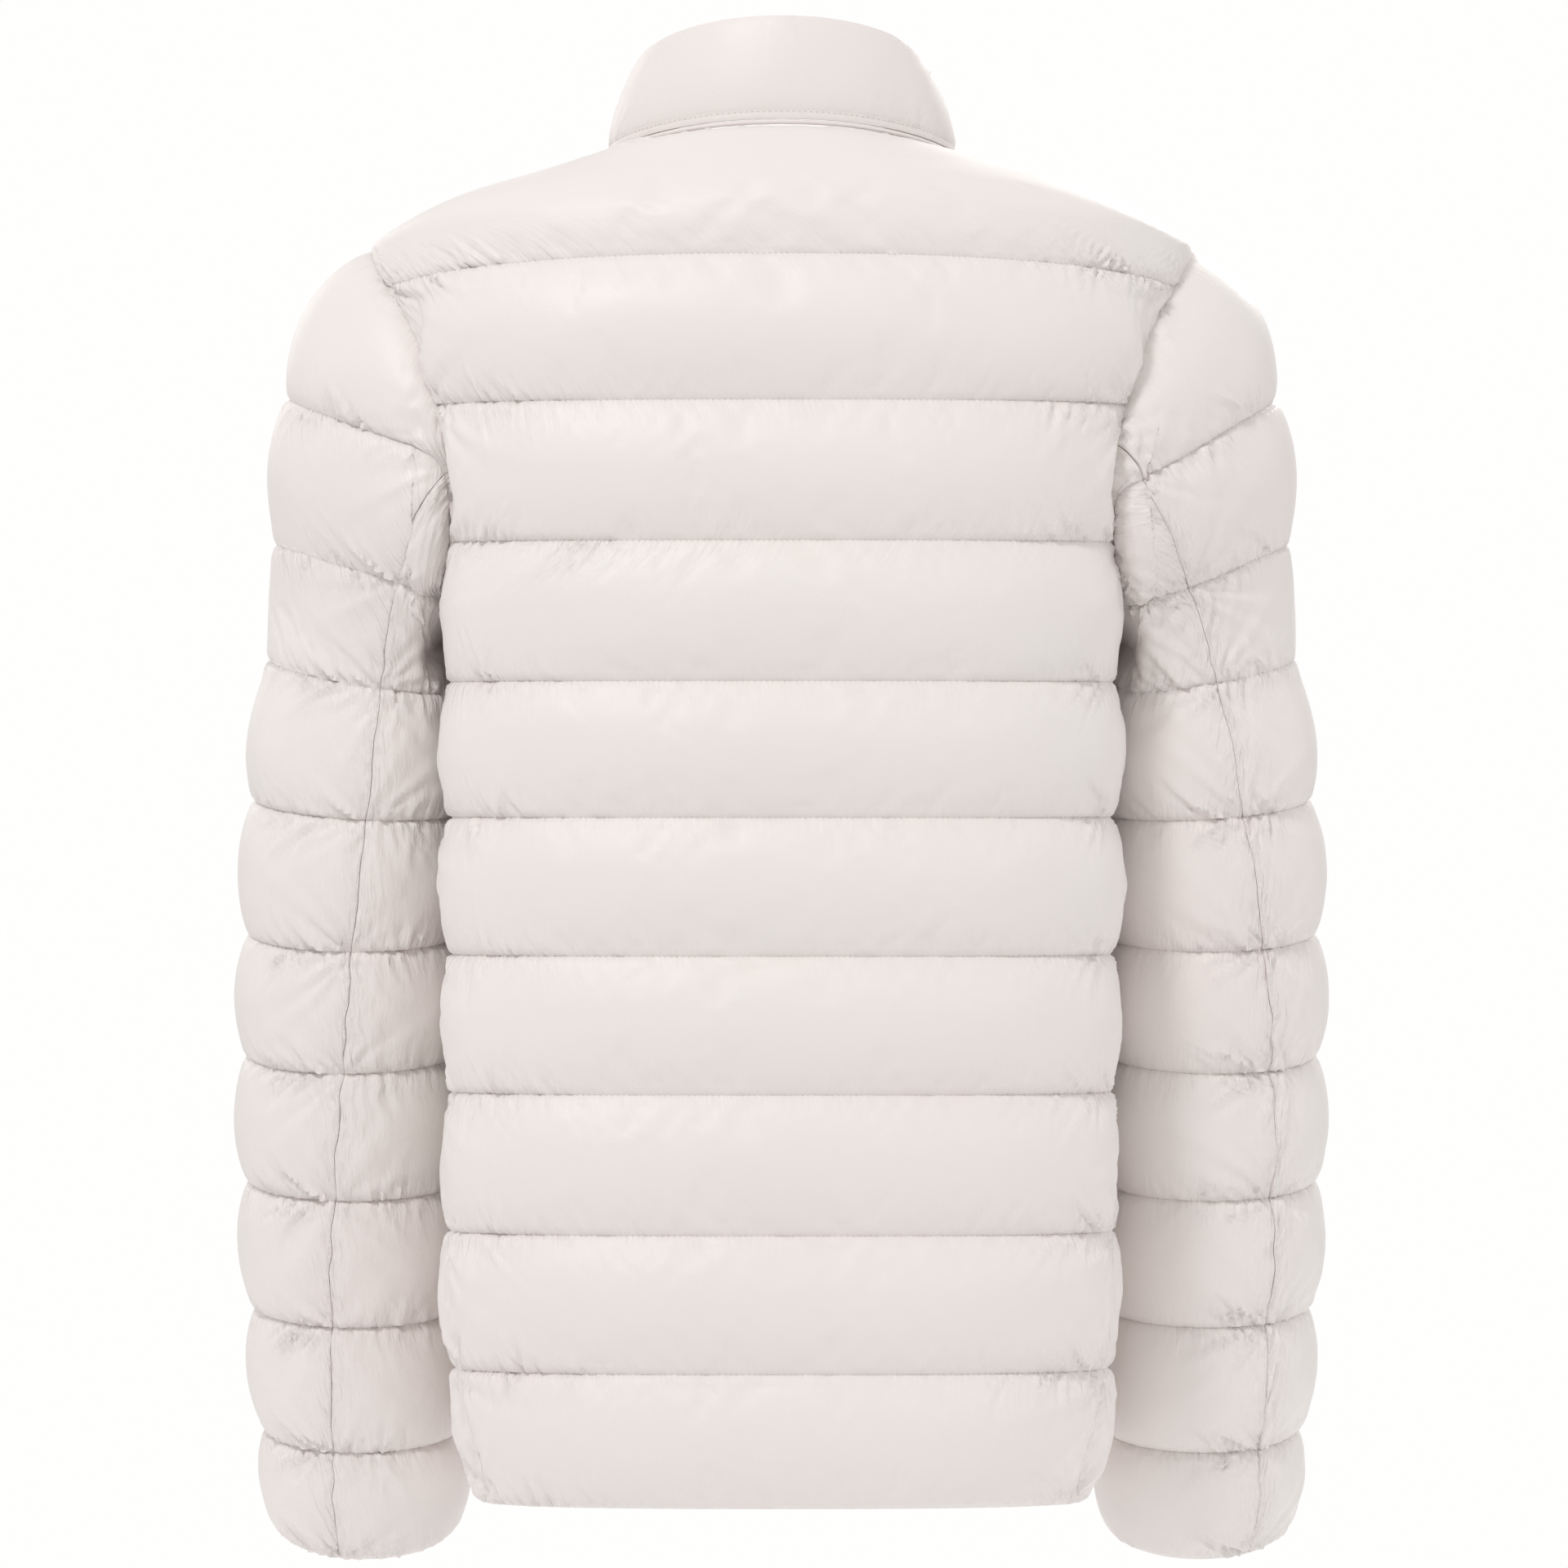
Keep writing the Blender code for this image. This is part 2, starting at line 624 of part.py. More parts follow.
def block(x_range, y_range, z_range):
    """A plain block as a hidden object, to be joined to another."""
    mesh = bmesh.new()
    bmesh.ops.create_cube(mesh, size=1.0)
    low = np.array([x_range[0], y_range[0], z_range[0]])
    high = np.array([x_range[1], y_range[1], z_range[1]])
    for vert in mesh.verts:
        vert.co = ((np.array(vert.co) + 0.5) * (high - low) + low) * MM
    data = bpy.data.meshes.new("block")
    mesh.to_mesh(data)
    mesh.free()
    obj = bpy.data.objects.new("block", data)
    bpy.context.scene.collection.objects.link(obj)
    return obj


def join(name, blocks, finish_material):
    """One closed body from overlapping blocks."""
    first, *others = blocks
    first.name = name
    first.data.name = name
    for other in others:
        union = first.modifiers.new("join", "BOOLEAN")
        union.operation = "UNION"
        union.object = other
        other.hide_render = True
        other.display_type = "WIRE"
    bpy.context.view_layer.update()
    solid = bpy.data.meshes.new_from_object(first.evaluated_get(bpy.context.evaluated_depsgraph_get()))
    first.modifiers.clear()
    first.data = solid
    solid.materials.clear()
    solid.materials.append(finish_material)
    for other in others:
        bpy.data.objects.remove(other, do_unlink=True)
    return first


def make_slider(seat, lean, metal):
    """The slider's two wings, neck and bridge, and the pull tab that hangs from the bridge."""
    wide, long = SLIDER_HALF_WIDTH, SLIDER_HALF_LENGTH
    slider = join(
        "zip_slider",
        [
            block((-wide, wide), (-3.2, -1.9), (-long, long)),
            block((-wide, wide), (1.9, 3.2), (-long, long)),
            block((-1.0, 1.0), (-2.2, 2.2), (NECK_START, long)),
            block((-0.9, 0.9), (-6.6, -2.8), (2.6, 4.2)),
            block((-0.9, 0.9), (-6.6, -2.8), (-4.2, -2.6)),
            block((-0.9, 0.9), (-6.6, -5.4), (-4.0, 4.0)),
        ],
        metal,
    )
    bar_y = -4.3
    pull = join(
        "zip_pull",
        [
            block((-2.4, 2.4), (-0.6, 0.6), (-0.6, 0.6)),
            block((-2.4, -1.4), (-0.6, 0.6), (-7.0, 0.5)),
            block((1.4, 2.4), (-0.6, 0.6), (-7.0, 0.5)),
            block((-3.0, 3.0), (-0.6, 0.6), (-PULL_LENGTH, -6.0)),
        ],
        metal,
    )
    mount = bpy.data.objects.new("slider_seat", None)
    bpy.context.scene.collection.objects.link(mount)
    mount.location = (0.0, seat[0] * MM, seat[1] * MM)
    mount.rotation_euler = (lean, 0.0, 0.0)
    slider.parent = mount
    pull.parent = mount
    pull.location = (0.0, bar_y * MM, 0.0)


def main():
    clear_scene()
    finishes = {
        "shell": material("shell", CREAM, 0.5),
        "trim": material("trim", (0.84, 0.81, 0.785), 0.6),
        "zip_teeth": material("zip_teeth", (0.80, 0.78, 0.76), 0.35),
        "zip_metal": material("zip_metal", (0.78, 0.77, 0.76), 0.3, 1.0),
    }
    make_body(finishes)
    for side in (1, -1):
        make_sleeve(side, finishes)
    make_collar(finishes)
    make_zip(finishes)


main()
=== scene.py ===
import math

import bmesh
import bpy
import numpy as np
from bpy.props import FloatProperty, FloatVectorProperty, IntProperty, PointerProperty
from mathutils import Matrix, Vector


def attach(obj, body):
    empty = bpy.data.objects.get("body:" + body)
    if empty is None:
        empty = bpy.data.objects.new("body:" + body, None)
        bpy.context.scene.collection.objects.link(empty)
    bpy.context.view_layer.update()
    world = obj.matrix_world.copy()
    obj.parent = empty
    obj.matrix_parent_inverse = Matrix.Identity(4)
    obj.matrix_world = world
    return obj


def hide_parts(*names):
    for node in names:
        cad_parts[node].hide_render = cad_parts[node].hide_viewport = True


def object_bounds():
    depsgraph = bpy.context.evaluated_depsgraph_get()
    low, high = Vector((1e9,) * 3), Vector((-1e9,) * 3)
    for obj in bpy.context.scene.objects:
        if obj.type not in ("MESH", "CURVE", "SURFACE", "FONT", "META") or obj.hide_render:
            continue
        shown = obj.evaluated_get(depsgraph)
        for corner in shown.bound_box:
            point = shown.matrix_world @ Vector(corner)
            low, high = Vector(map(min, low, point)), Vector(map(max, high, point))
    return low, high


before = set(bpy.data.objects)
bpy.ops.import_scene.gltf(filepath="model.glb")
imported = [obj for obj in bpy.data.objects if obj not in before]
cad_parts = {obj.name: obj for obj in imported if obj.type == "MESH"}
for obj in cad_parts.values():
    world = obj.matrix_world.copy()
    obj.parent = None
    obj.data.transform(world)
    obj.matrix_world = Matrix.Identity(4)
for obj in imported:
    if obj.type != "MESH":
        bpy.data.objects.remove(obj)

bl_info = {
    "name": "Padded jacket",
    "version": (1, 0, 0),
    "blender": (4, 5, 0),
    "location": "View3D > Sidebar > Jacket",
    "description": "Builds the quilted panels, collar, zip, stitches and stage of a padded jacket",
    "category": "Object",
}

cad_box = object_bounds()
MM = 0.001
BODY = "jacket"

# The jacket's form, in millimetres, all of it estimated. Front is -Y and +X the wearer's left.
HALF_WALL = 1.0
SEAM_GAP = 0.3
FRONT_EDGE = 7.0
SHOULDER_SEAM_FORWARD = 12.0
# Row, height at the side, half width, depth back, depth front, rise, drop, how much wider the back is and how
# square the ring is.
BODY_CHART = (
    (0.00, -15, 88, 71, 82, 15, 62, 0.00, 2.1),
    (0.35, -37, 137, 91, 102, 15, 64, 0.02, 2.1),
    (0.72, -61, 208, 110, 117, 17, 59, 0.04, 2.2),
    (1.00, -84, 203, 117, 122, 18, 44, 0.06, 2.4),
    (2.00, -142, 178, 124, 128, 2, 6, 0.12, 2.8),
    (3.00, -211, 167, 127, 131, 0, 0, 0.12, 2.8),
    (4.00, -282, 164, 127, 131, 0, 0, 0.12, 2.8),
    (5.00, -351, 163, 126, 130, 0, 0, 0.12, 2.8),
    (6.00, -421, 163, 125, 129, 0, 0, 0.12, 2.8),
    (7.00, -491, 163, 125, 129, 0, 0, 0.12, 2.8),
    (8.00, -562, 164, 125, 129, 0, 0, 0.12, 2.8),
    (9.00, -632, 162, 123, 128, 0, 0, 0.12, 2.7),
    (10.0, -700, 150, 116, 120, 0, 0, 0.12, 2.6),
)
SHOULDER_TIP_ROW = 0.72
HEM_ROW = 10
FRONT_FIRST_QUILT_ROW = 2
ARMHOLE_TOP = -61.0
ARMHOLE_BOTTOM = -246.0
ARMHOLE_HALF_BACK = 76.0
ARMHOLE_HALF_FRONT = 72.0
SIDE_SEAM_TOP = 8.0
SIDE_SEAM_HEM = 62.0
# Row, centre out and forward, height, half width, half depth, lean to the side and to the front in degrees.
SLEEVE_CHART = (
    (3.0, 212, 20, -278, 51, 50, 9, 7),
    (4.0, 216, 29, -345, 54, 52, 3, 8),
    (5.0, 219, 39, -411, 54, 52, 0, 10),
    (6.0, 220, 50, -473, 54, 51, -1, 11),
    (7.0, 221, 62, -539, 53, 50, 0, 11),
    (8.0, 220, 74, -605, 51, 48, 0, 11),
    (9.0, 218, 86, -669, 48, 46, 0, 13),
    (10.0, 216, 96, -719, 44, 41, 0, 23),
)
CAP_ROW = 3
CUFF_ROW = 10
# Heights of the sleeve head's quilt lines 1 and 2, at the outer side and at the inner.
CAP_LINE_HEIGHTS = ((-136.0, -179.0), (-210.0, -238.0))
SLEEVE_TUCK_UNDER = 2.0
SLEEVE_TUCK_IN = 3.0
ELBOW_SEAM = {1: (104.0, 74.0), -1: (96.0, 56.0)}
ELBOW_SETTLED = {1: 10.0, -1: 6.5}  # the row by which each elbow seam has reached its lower place
FRONT_SEAM = (252.0, 262.0)
SEAM_WANDER = 1.0  # degrees that the stitched elbow seam strays to either side
CROWDING = 0.3
ARMHOLE_ROLL = 7.0
DENT_TOP = -190.0
DENT_FULL = -300.0
SLEEVE_CLEARANCE = 19.0
BODY_CLOSE_ROW = 1.6
UNDERARM_SPREAD = 52.0
COLLAR_BASE_LIFT = 4.2
COLLAR_TOP = (33, 74, 62, 78, 24, 41)
PIPING_LIFT = 2.6
TAPE_INSET = 3.6

# How finely the cloth is meshed, in steps to a baffle or across a panel, and how coarse its inside is. Then
# how its padding, its creases and the zip are shaped, in millimetres.
BAFFLE_STEPS = 32
YOKE_STEPS = 44
BACK_STEPS = 272
FRONT_STEPS = 120
SLEEVE_OUTER_STEPS = 144
SLEEVE_UNDER_STEPS = 72
INSIDE_EVERY = 4
EDGE_TAPER = 15.0
QUILT_ROUNDNESS = 0.6
OUTSIDE_AT_SEAM = 0.9
FULL_BAFFLE = 42.0  # the height at which a baffle is as full as its padding lets it be
SLACK_REACH = 26.0  # how far spare cloth spreads from a panel's sides
INNER_PUFF_SHARE = 0.25
CLOTH_FRAMES = 14
BILLOW_LIMIT = 6.0
CREASE_HEIGHT = 2.0
CORNER_FOLD_HEIGHT = 1.5
DEEPEST_CREASE = 2.8
TURNING_SHARE = 0.91  # of a baffle's greatest half width, where it turns out of sight
COLLAR_COLUMNS = 240
COLLAR_ROWS = 32
COLLAR_STITCH_ROW = 4
TAPE_INNER = 2.6
TAPE_OUTER = 12.6
TAPE_HALF_THICKNESS = 0.4
CHAIN_SHORT_OF_TOP = 8.0
SEAM_PATHS = {}


def smooth(t):
    t = np.clip(t, 0.0, 1.0)
    return t * t * (3 - 2 * t)


def unit(vectors):
    return vectors / np.maximum(np.linalg.norm(vectors, axis=-1, keepdims=True), 1e-9)


def signed_power(value, power):
    return np.sign(value) * np.abs(value) ** power


def hermite(start, start_run, end, end_run, t):
    t2, t3 = t * t, t * t * t
    return (
        (2 * t3 - 3 * t2 + 1) * start
        + (t3 - 2 * t2 + t) * start_run
        + (3 * t2 - 2 * t3) * end
        + (t3 - t2) * end_run
    )


def chart_at(chart, rows):
    """A chart's sizes at any rows, on a smooth curve through its stations that never overshoots them."""
    table = np.array(chart, float)
    stations, values = table[:, 0], table[:, 1:]
    slopes = np.diff(values, axis=0) / np.diff(stations)[:, None]
    before, after = slopes[:-1], slopes[1:]
    same = before * after > 0
    inner = np.where(same, 2 * before * after / np.where(same, before + after, 1.0), 0.0)
    runs = np.concatenate([slopes[:1], inner, slopes[-1:]])
    rows = np.asarray(rows, float)
    i = np.clip(np.searchsorted(stations, rows, side="right") - 1, 0, len(stations) - 2)
    width = (stations[i + 1] - stations[i])[..., None]
    t = (rows - stations[i])[..., None] / width
    return hermite(values[i], runs[i] * width, values[i + 1], runs[i + 1] * width, t)


def ring_points(sizes, angles, wider_back=0.0, square=2.1, sag_power=1.6):
    """Points of body or collar rings. Angle 0 is the wearer's left side and 90 degrees the middle back."""
    height, half_width, back, front, rise, drop = sizes
    across = signed_power(np.cos(angles), 2 / square)
    along = signed_power(np.sin(angles), 2 / square)
    x = half_width * across * (1 + wider_back * along)
    y = np.where(along > 0, back, front) * along
    bend = np.abs(along) ** sag_power
    z = height + np.where(along > 0, rise * bend, -drop * bend)
    return np.stack([x, y, z], axis=-1)


FINE_ROWS = np.linspace(0.0, HEM_ROW, 2001)
SIDE_HEIGHTS = chart_at(BODY_CHART, FINE_ROWS)[:, 0]
SLEEVE_FINE_ROWS = np.linspace(CAP_ROW, CUFF_ROW, 701)
SLEEVE_FINE = chart_at(SLEEVE_CHART, SLEEVE_FINE_ROWS)


def row_at_height(z):
    return np.interp(-z, -SIDE_HEIGHTS, FINE_ROWS)


UNDERARM_ROW = float(row_at_height(ARMHOLE_BOTTOM))


def make_room(points):
    """Moves the body's sides clear of the sleeves that hang against them."""
    side = np.where(points[..., 0] < 0, -1.0, 1.0)
    z = points[..., 2]
    amount = smooth((DENT_TOP - z) / (DENT_TOP - DENT_FULL))
    centre_x = np.interp(-z, -SLEEVE_FINE[:, 2], SLEEVE_FINE[:, 0])
    centre_y = -np.interp(-z, -SLEEVE_FINE[:, 2], SLEEVE_FINE[:, 1])
    reach = (np.interp(-z, -SLEEVE_FINE[:, 2], SLEEVE_FINE[:, 3]) + SLEEVE_CLEARANCE) * amount
    away = np.stack([points[..., 0] * side - centre_x, points[..., 1] - centre_y], axis=-1)
    distance = np.linalg.norm(away, axis=-1)
    near = distance < reach
    grow = np.where(near, reach / np.maximum(distance, 1e-6), 1.0)
    moved = points.copy()
    moved[..., 0] = np.where(near, side * (centre_x + away[..., 0] * grow), points[..., 0])
    moved[..., 1] = np.where(near, centre_y + away[..., 1] * grow, points[..., 1])
    return moved


def body_points(rows, angles):
    rows, angles = np.broadcast_arrays(rows, angles)
    sizes = np.moveaxis(chart_at(BODY_CHART, rows), -1, 0)
    return make_room(ring_points(sizes[:6], angles, sizes[6], sizes[7]))


def body_angle(rows, depth):
    sizes = chart_at(BODY_CHART, rows)
    reach = np.where(depth > 0, sizes[..., 2], sizes[..., 3])
    share = np.clip(depth / reach, -1.0, 1.0)
    return np.arcsin(signed_power(share, sizes[..., 7] / 2))


def armhole_turn(rows):
    middle = (ARMHOLE_TOP + ARMHOLE_BOTTOM) / 2
    half = (ARMHOLE_TOP - ARMHOLE_BOTTOM) / 2
    return np.arccos(np.clip((chart_at(BODY_CHART, rows)[..., 0] - middle) / half, -1.0, 1.0))


def seam_depth(rows, back):
    """Where rows end at the shoulder seam, the armhole or the side seam. Back is +1 and front -1."""
    turn = armhole_turn(rows)
    level = -SHOULDER_SEAM_FORWARD + (SIDE_SEAM_TOP + SHOULDER_SEAM_FORWARD) * (1 - np.cos(turn)) / 2
    armhole = level + (ARMHOLE_HALF_BACK if back > 0 else -ARMHOLE_HALF_FRONT) * np.sin(turn)
    down = (rows - UNDERARM_ROW) / (HEM_ROW - UNDERARM_ROW)
    side = SIDE_SEAM_TOP + (SIDE_SEAM_HEM - SIDE_SEAM_TOP) * smooth(down)
    below = np.where(rows < UNDERARM_ROW, armhole, side)
    return np.where(rows <= SHOULDER_TIP_ROW, -SHOULDER_SEAM_FORWARD, below)


def sleeve_ring_points(rows, turns):
    sizes = np.moveaxis(chart_at(SLEEVE_CHART, rows), -1, 0)
    x, forward, z, half_width, half_depth, lean_side, lean_front = sizes
    lean_side, lean_front = np.radians(lean_side), np.radians(lean_front)
    out, back = half_width * np.cos(turns), half_depth * np.sin(turns)
    lower = -out * np.sin(lean_side) + back * np.sin(lean_front)
    return np.stack([x + out * np.cos(lean_side), -forward + back * np.cos(lean_front), z - lower], -1)


def armhole_edge(turns):
    """The left armhole's edge on the body at these turns, and the body's outward direction there."""
    turns = np.mod(turns, 2 * math.pi)
    back = turns <= math.pi
    middle = (ARMHOLE_TOP + ARMHOLE_BOTTOM) / 2
    half = (ARMHOLE_TOP - ARMHOLE_BOTTOM) / 2
    rows = row_at_height(middle + half * np.cos(turns))
    depth = np.where(back, seam_depth(rows, 1), seam_depth(rows, -1))
    angles = body_angle(rows, depth)
    along = body_points(rows, angles + 0.01) - body_points(rows, angles - 0.01)
    down = body_points(rows + 0.02, angles) - body_points(rows - 0.02, angles)
    return body_points(rows, angles), unit(np.cross(down, along))


def sleeve_points(shares, turns, edge_turns):
    """Points of the left sleeve's head, from the armhole (share 0) to quilt line 3 (share 1)."""
    edge, outward = armhole_edge(edge_turns + 0 * turns)
    end = sleeve_ring_points(np.full(turns.shape, float(CAP_ROW)), turns)
    end_run = unit(sleeve_ring_points(np.full(turns.shape, CAP_ROW + 0.1), turns) - end)
    top = ((1 + np.cos(turns)) / 2)[..., None]
    away = top * np.array([0.82, 0.0, -0.57]) + (1 - top) * np.array([0.35, 0.0, -0.94])
    sideways = np.abs(np.sin(turns))
    away = away + np.stack([0.25 * sideways, 0.22 * np.sin(turns) * sideways, 0 * turns], axis=-1)
    span = np.linalg.norm(end - edge, axis=-1)
    shares = shares[..., None]
    start = edge - (outward * SLEEVE_TUCK_UNDER + unit(away) * SLEEVE_TUCK_IN) * (1 - top**6)
    points = hermite(start, unit(away) * span[..., None], end, end_run * span[..., None], shares)
    travelled = shares[..., 0] * span
    row = row_at_height(points[..., 2])
    side = body_points(row, body_angle(row, points[..., 1]))[..., 0]
    room = (SLEEVE_CLEARANCE + SLEEVE_TUCK_UNDER) * (1 - np.exp(-travelled / 14)) - SLEEVE_TUCK_UNDER
    low = smooth((chart_at(BODY_CHART, BODY_CLOSE_ROW)[0] - points[..., 2]) / 45.0)
    points[..., 0] += low * np.maximum(side + room - points[..., 0], 0.0)
    return points


# ---- Noise with fixed seeds ----


def wave_noise(position, seed, stretch=1.0):
    """Smooth noise along a line, between -1 and 1, one swing to a unit of position."""
    lattice = np.random.default_rng(seed).uniform(-1, 1, 4096)
    position = position / stretch + 1024
    low = np.floor(position).astype(int)
    share = smooth(position - low)
    return lattice[low % 4096] * (1 - share) + lattice[(low + 1) % 4096] * share


def patch_noise(a, b, seed):
    """Smooth noise over a surface, between -1 and 1, one swing to a unit of a and b."""
    lattice = np.random.default_rng(seed).uniform(-1, 1, (256, 256))
    a, b = a + 512, b + 512
    low_a, low_b = np.floor(a).astype(int), np.floor(b).astype(int)
    share_a, share_b = smooth(a - low_a), smooth(b - low_b)

    def along(row):
        near = lattice[row % 256, low_b % 256]
        return near * (1 - share_b) + lattice[row % 256, (low_b + 1) % 256] * share_b

    return along(low_a) * (1 - share_a) + along(low_a + 1) * share_a


# ---- Meshes of cloth ----


def link(name, data):
    obj = bpy.data.objects.new(name, data)
    bpy.context.scene.collection.objects.link(obj)
    return obj


def new_mesh(name, points, faces):
    """A mesh in metres from points in millimetres."""
    data = bpy.data.meshes.new(name)
    data.from_pydata((np.asarray(points).reshape(-1, 3) * MM).tolist(), [], faces)
    data.update()
    return data


def grid_quads(rows, columns, start=0, every=1, inward=False):
    """Corner numbers of a grid's quads, facing outwards for a grid that runs down and then round."""
    index = start + np.arange(rows * columns).reshape(rows, columns)[::every, ::every]
    a, b, c, d = index[:-1, :-1], index[:-1, 1:], index[1:, 1:], index[1:, :-1]
    corners = (a, d, c, b) if not inward else (a, b, c, d)
    return np.stack([corner.ravel() for corner in corners], axis=1).tolist()


def border(rows, columns):
    """Grid numbers of the whole border, once round."""
    index = np.arange(rows * columns).reshape(rows, columns)
    sides = (index[0, :-1], index[:-1, -1], index[-1, :0:-1], index[:0:-1, 0])
    return np.concatenate(sides)


def wall(name, outer, inner, every):
    """One closed wall of cloth: a fine outer face, a coarser inner one, and a rim between the two."""
    rows, columns = outer.shape[:2]
    low = inner[::every, ::every]
    faces = grid_quads(rows, columns)
    faces += grid_quads(low.shape[0], low.shape[1], rows * columns, inward=True)
    edge = border(rows, columns).tolist()
    low_edge = (border(*low.shape[:2]) + rows * columns).tolist()
    edge.append(edge[0])
    low_edge.append(low_edge[0])
    for k in range(len(low_edge) - 1):
        top = edge[k * every : (k + 1) * every + 1]
        faces.append(top + [low_edge[k + 1], low_edge[k]])
    data = new_mesh(name, np.concatenate([outer.reshape(-1, 3), low.reshape(-1, 3)]), faces)
    mesh = bmesh.new()
    mesh.from_mesh(data)
    bmesh.ops.triangulate(mesh, faces=[face for face in mesh.faces if len(face.verts) > 4])
    bmesh.ops.recalc_face_normals(mesh, faces=mesh.faces)
    mesh.to_mesh(data)
    mesh.free()
    smooth_shaded(data, 60)
    return link(name, data)


def store(obj, name, values, rest):
    """Keeps a value for each point of the outer face, and rest for the others, for the finishes to read."""
    count = len(obj.data.vertices)
    layer = obj.data.attributes.new(name, "FLOAT", "POINT")
    whole = np.full(count, rest, dtype=np.float32)
    whole[: values.size] = values.ravel()
    layer.data.foreach_set("value", whole)


def grid_normals(grid):
    return unit(np.cross(np.gradient(grid, axis=0), np.gradient(grid, axis=1)))


def finer(values, axis):
    """Twice as many steps along one axis, on smooth curves through the values."""
    values = np.moveaxis(values, axis, 0)
    ends = np.concatenate([2 * values[:1] - values[1:2], values, 2 * values[-1:] - values[-2:-1]])
    between = (9 * (ends[1:-2] + ends[2:-1]) - ends[:-3] - ends[3:]) / 16
    whole = np.empty((2 * len(values) - 1,) + values.shape[1:])
    whole[::2], whole[1::2] = values, between
    return np.moveaxis(whole, 0, axis)


def settle(name, grid, pinned, slack, strength):
    """Lets a panel's cloth billow over its filling between the lines that hold it, by cloth simulation."""
    rows, columns = grid.shape[:2]
    cloth = link(name + "_cloth", new_mesh(name + "_cloth", grid, grid_quads(rows, columns)))
    held = cloth.vertex_groups.new(name="held")
    held.add(np.flatnonzero(pinned.ravel()).tolist(), 1.0, "REPLACE")
    spare = cloth.vertex_groups.new(name="spare")
    levels = np.round(slack.ravel(), 1)
    for level in np.unique(levels):
        spare.add(np.flatnonzero(levels == level).tolist(), float(level), "REPLACE")
    modifier = cloth.modifiers.new("Cloth", "CLOTH")
    settings = modifier.settings
    settings.quality = 4
    settings.mass = 0.15
    settings.tension_stiffness = 15
    settings.compression_stiffness = 15
    settings.shear_stiffness = 3
    settings.bending_stiffness = 0.5
    settings.air_damping = 3
    settings.vertex_group_mass = "held"
    settings.pin_stiffness = 1
    settings.vertex_group_shrink = "spare"
    settings.shrink_min = -0.004
    settings.shrink_max = -0.07
    settings.use_pressure = True
    settings.uniform_pressure_force = strength
    settings.effector_weights.gravity = 0
    modifier.collision_settings.use_self_collision = False
    modifier.collision_settings.use_collision = False
    modifier.point_cache.frame_end = CLOTH_FRAMES
    for step in range(1, CLOTH_FRAMES + 1):
        bpy.context.scene.frame_set(step)
    evaluated = cloth.evaluated_get(bpy.context.evaluated_depsgraph_get())
    places = np.empty(rows * columns * 3, dtype=np.float32)
    evaluated.data.vertices.foreach_get("co", places)
    moved = places.reshape(rows, columns, 3) / MM - grid
    data = cloth.data
    bpy.data.objects.remove(cloth, do_unlink=True)
    bpy.data.meshes.remove(data)
    bpy.context.scene.frame_set(1)
    length = np.linalg.norm(moved, axis=2, keepdims=True)
    return moved * np.minimum(1.0, BILLOW_LIMIT / np.maximum(length, 1e-6))


def line_distances(grid, row_lines):
    """For every point, in millimetres: how far it is along its row, from the row's two ends, below the
    quilt line above it and above the one below it."""
    along = np.linalg.norm(np.diff(grid, axis=1), axis=2)
    along = np.concatenate([np.zeros((len(grid), 1)), np.cumsum(along, axis=1)], axis=1)
    down = np.linalg.norm(np.diff(grid, axis=0), axis=2)
    down = np.concatenate([np.zeros((1, grid.shape[1])), np.cumsum(down, axis=0)], axis=0)
    above, below = np.empty(down.shape), np.empty(down.shape)
    for start, end in zip(row_lines[:-1], row_lines[1:]):
        above[start : end + 1] = down[start : end + 1] - down[start]
        below[start : end + 1] = down[end] - down[start : end + 1]
    return along, along[:, -1:] - along, above, below, down


def crease(along, across, place, slope, width, length, height, lean):
    """One crease: a narrow ridge with a dent beside it, running away from a seam and fading out."""
    off = (along - place - slope * across) / (width * (1 + 0.5 * across / length))
    shape = np.exp(-(off**2)) - 0.6 * np.exp(-((off - lean * 1.5) ** 2))
    return height * shape * np.clip(across / 2.0, 0.3, 1.0) * np.exp(-((across / length) ** 2))


def gathered_places(grid, along, pulls):
    """Where a baffle's cloth is drawn up: at its two ends, and where it turns out of sight. Each place is a
    distance along the baffle, the way its creases spread, and how strongly it pulls."""
    middle = len(grid) // 2
    whole = float(along[middle, -1])
    places = [(0.0, 1, pulls[0]), (whole, -1, pulls[1])]
    width = np.abs(grid[middle, :, 0])
    beyond = width > TURNING_SHARE * width.max()
    for number in np.flatnonzero(beyond[1:] != beyond[:-1]):
        inward = -1 if beyond[number + 1] else 1
        if number > len(width) // 2:
            inward = -1
        places.append((float(along[middle, number]), inward, 1.0))
    return places


def seam_creases(along, across, places, seed, sparse, size, widths):
    """Many creases along one side of a seam, crowded and fanned out at the places where it is drawn up."""
    draw = np.random.default_rng(seed)
    whole = float(along.max())
    lift = np.zeros(along.shape)
    creases = []
    for centre, way, pull in places:
        for distance in draw.exponential(24.0, int(round(15 * pull))):
            creases.append((centre + way * (distance - 4.0), way, pull * math.exp(-distance / 40.0)))
    for distance in draw.uniform(0, whole, int(whole / sparse)):
        creases.append((distance, 1 if distance < whole / 2 else -1, 0.0))
    for place, way, nearness in creases:
        fan = draw.normal(0.0, 0.2) + way * nearness * draw.uniform(-0.2, 0.9)
        width = draw.uniform(*widths)
        length = draw.uniform(6.0, 15.0) * (0.65 + 0.9 * nearness)
        height = size * draw.uniform(0.45, 1.0) * (0.3 + 0.7 * nearness)
        lean = 1.0 if draw.random() < 0.5 else -1.0
        reach = np.abs(along - place) < 60
        columns = np.flatnonzero(reach.any(axis=0))
        if len(columns):
            part = slice(columns[0], columns[-1] + 1)
            lift[:, part] += crease(along[:, part], across[:, part], place, fan, width, length, height, lean)
    return lift


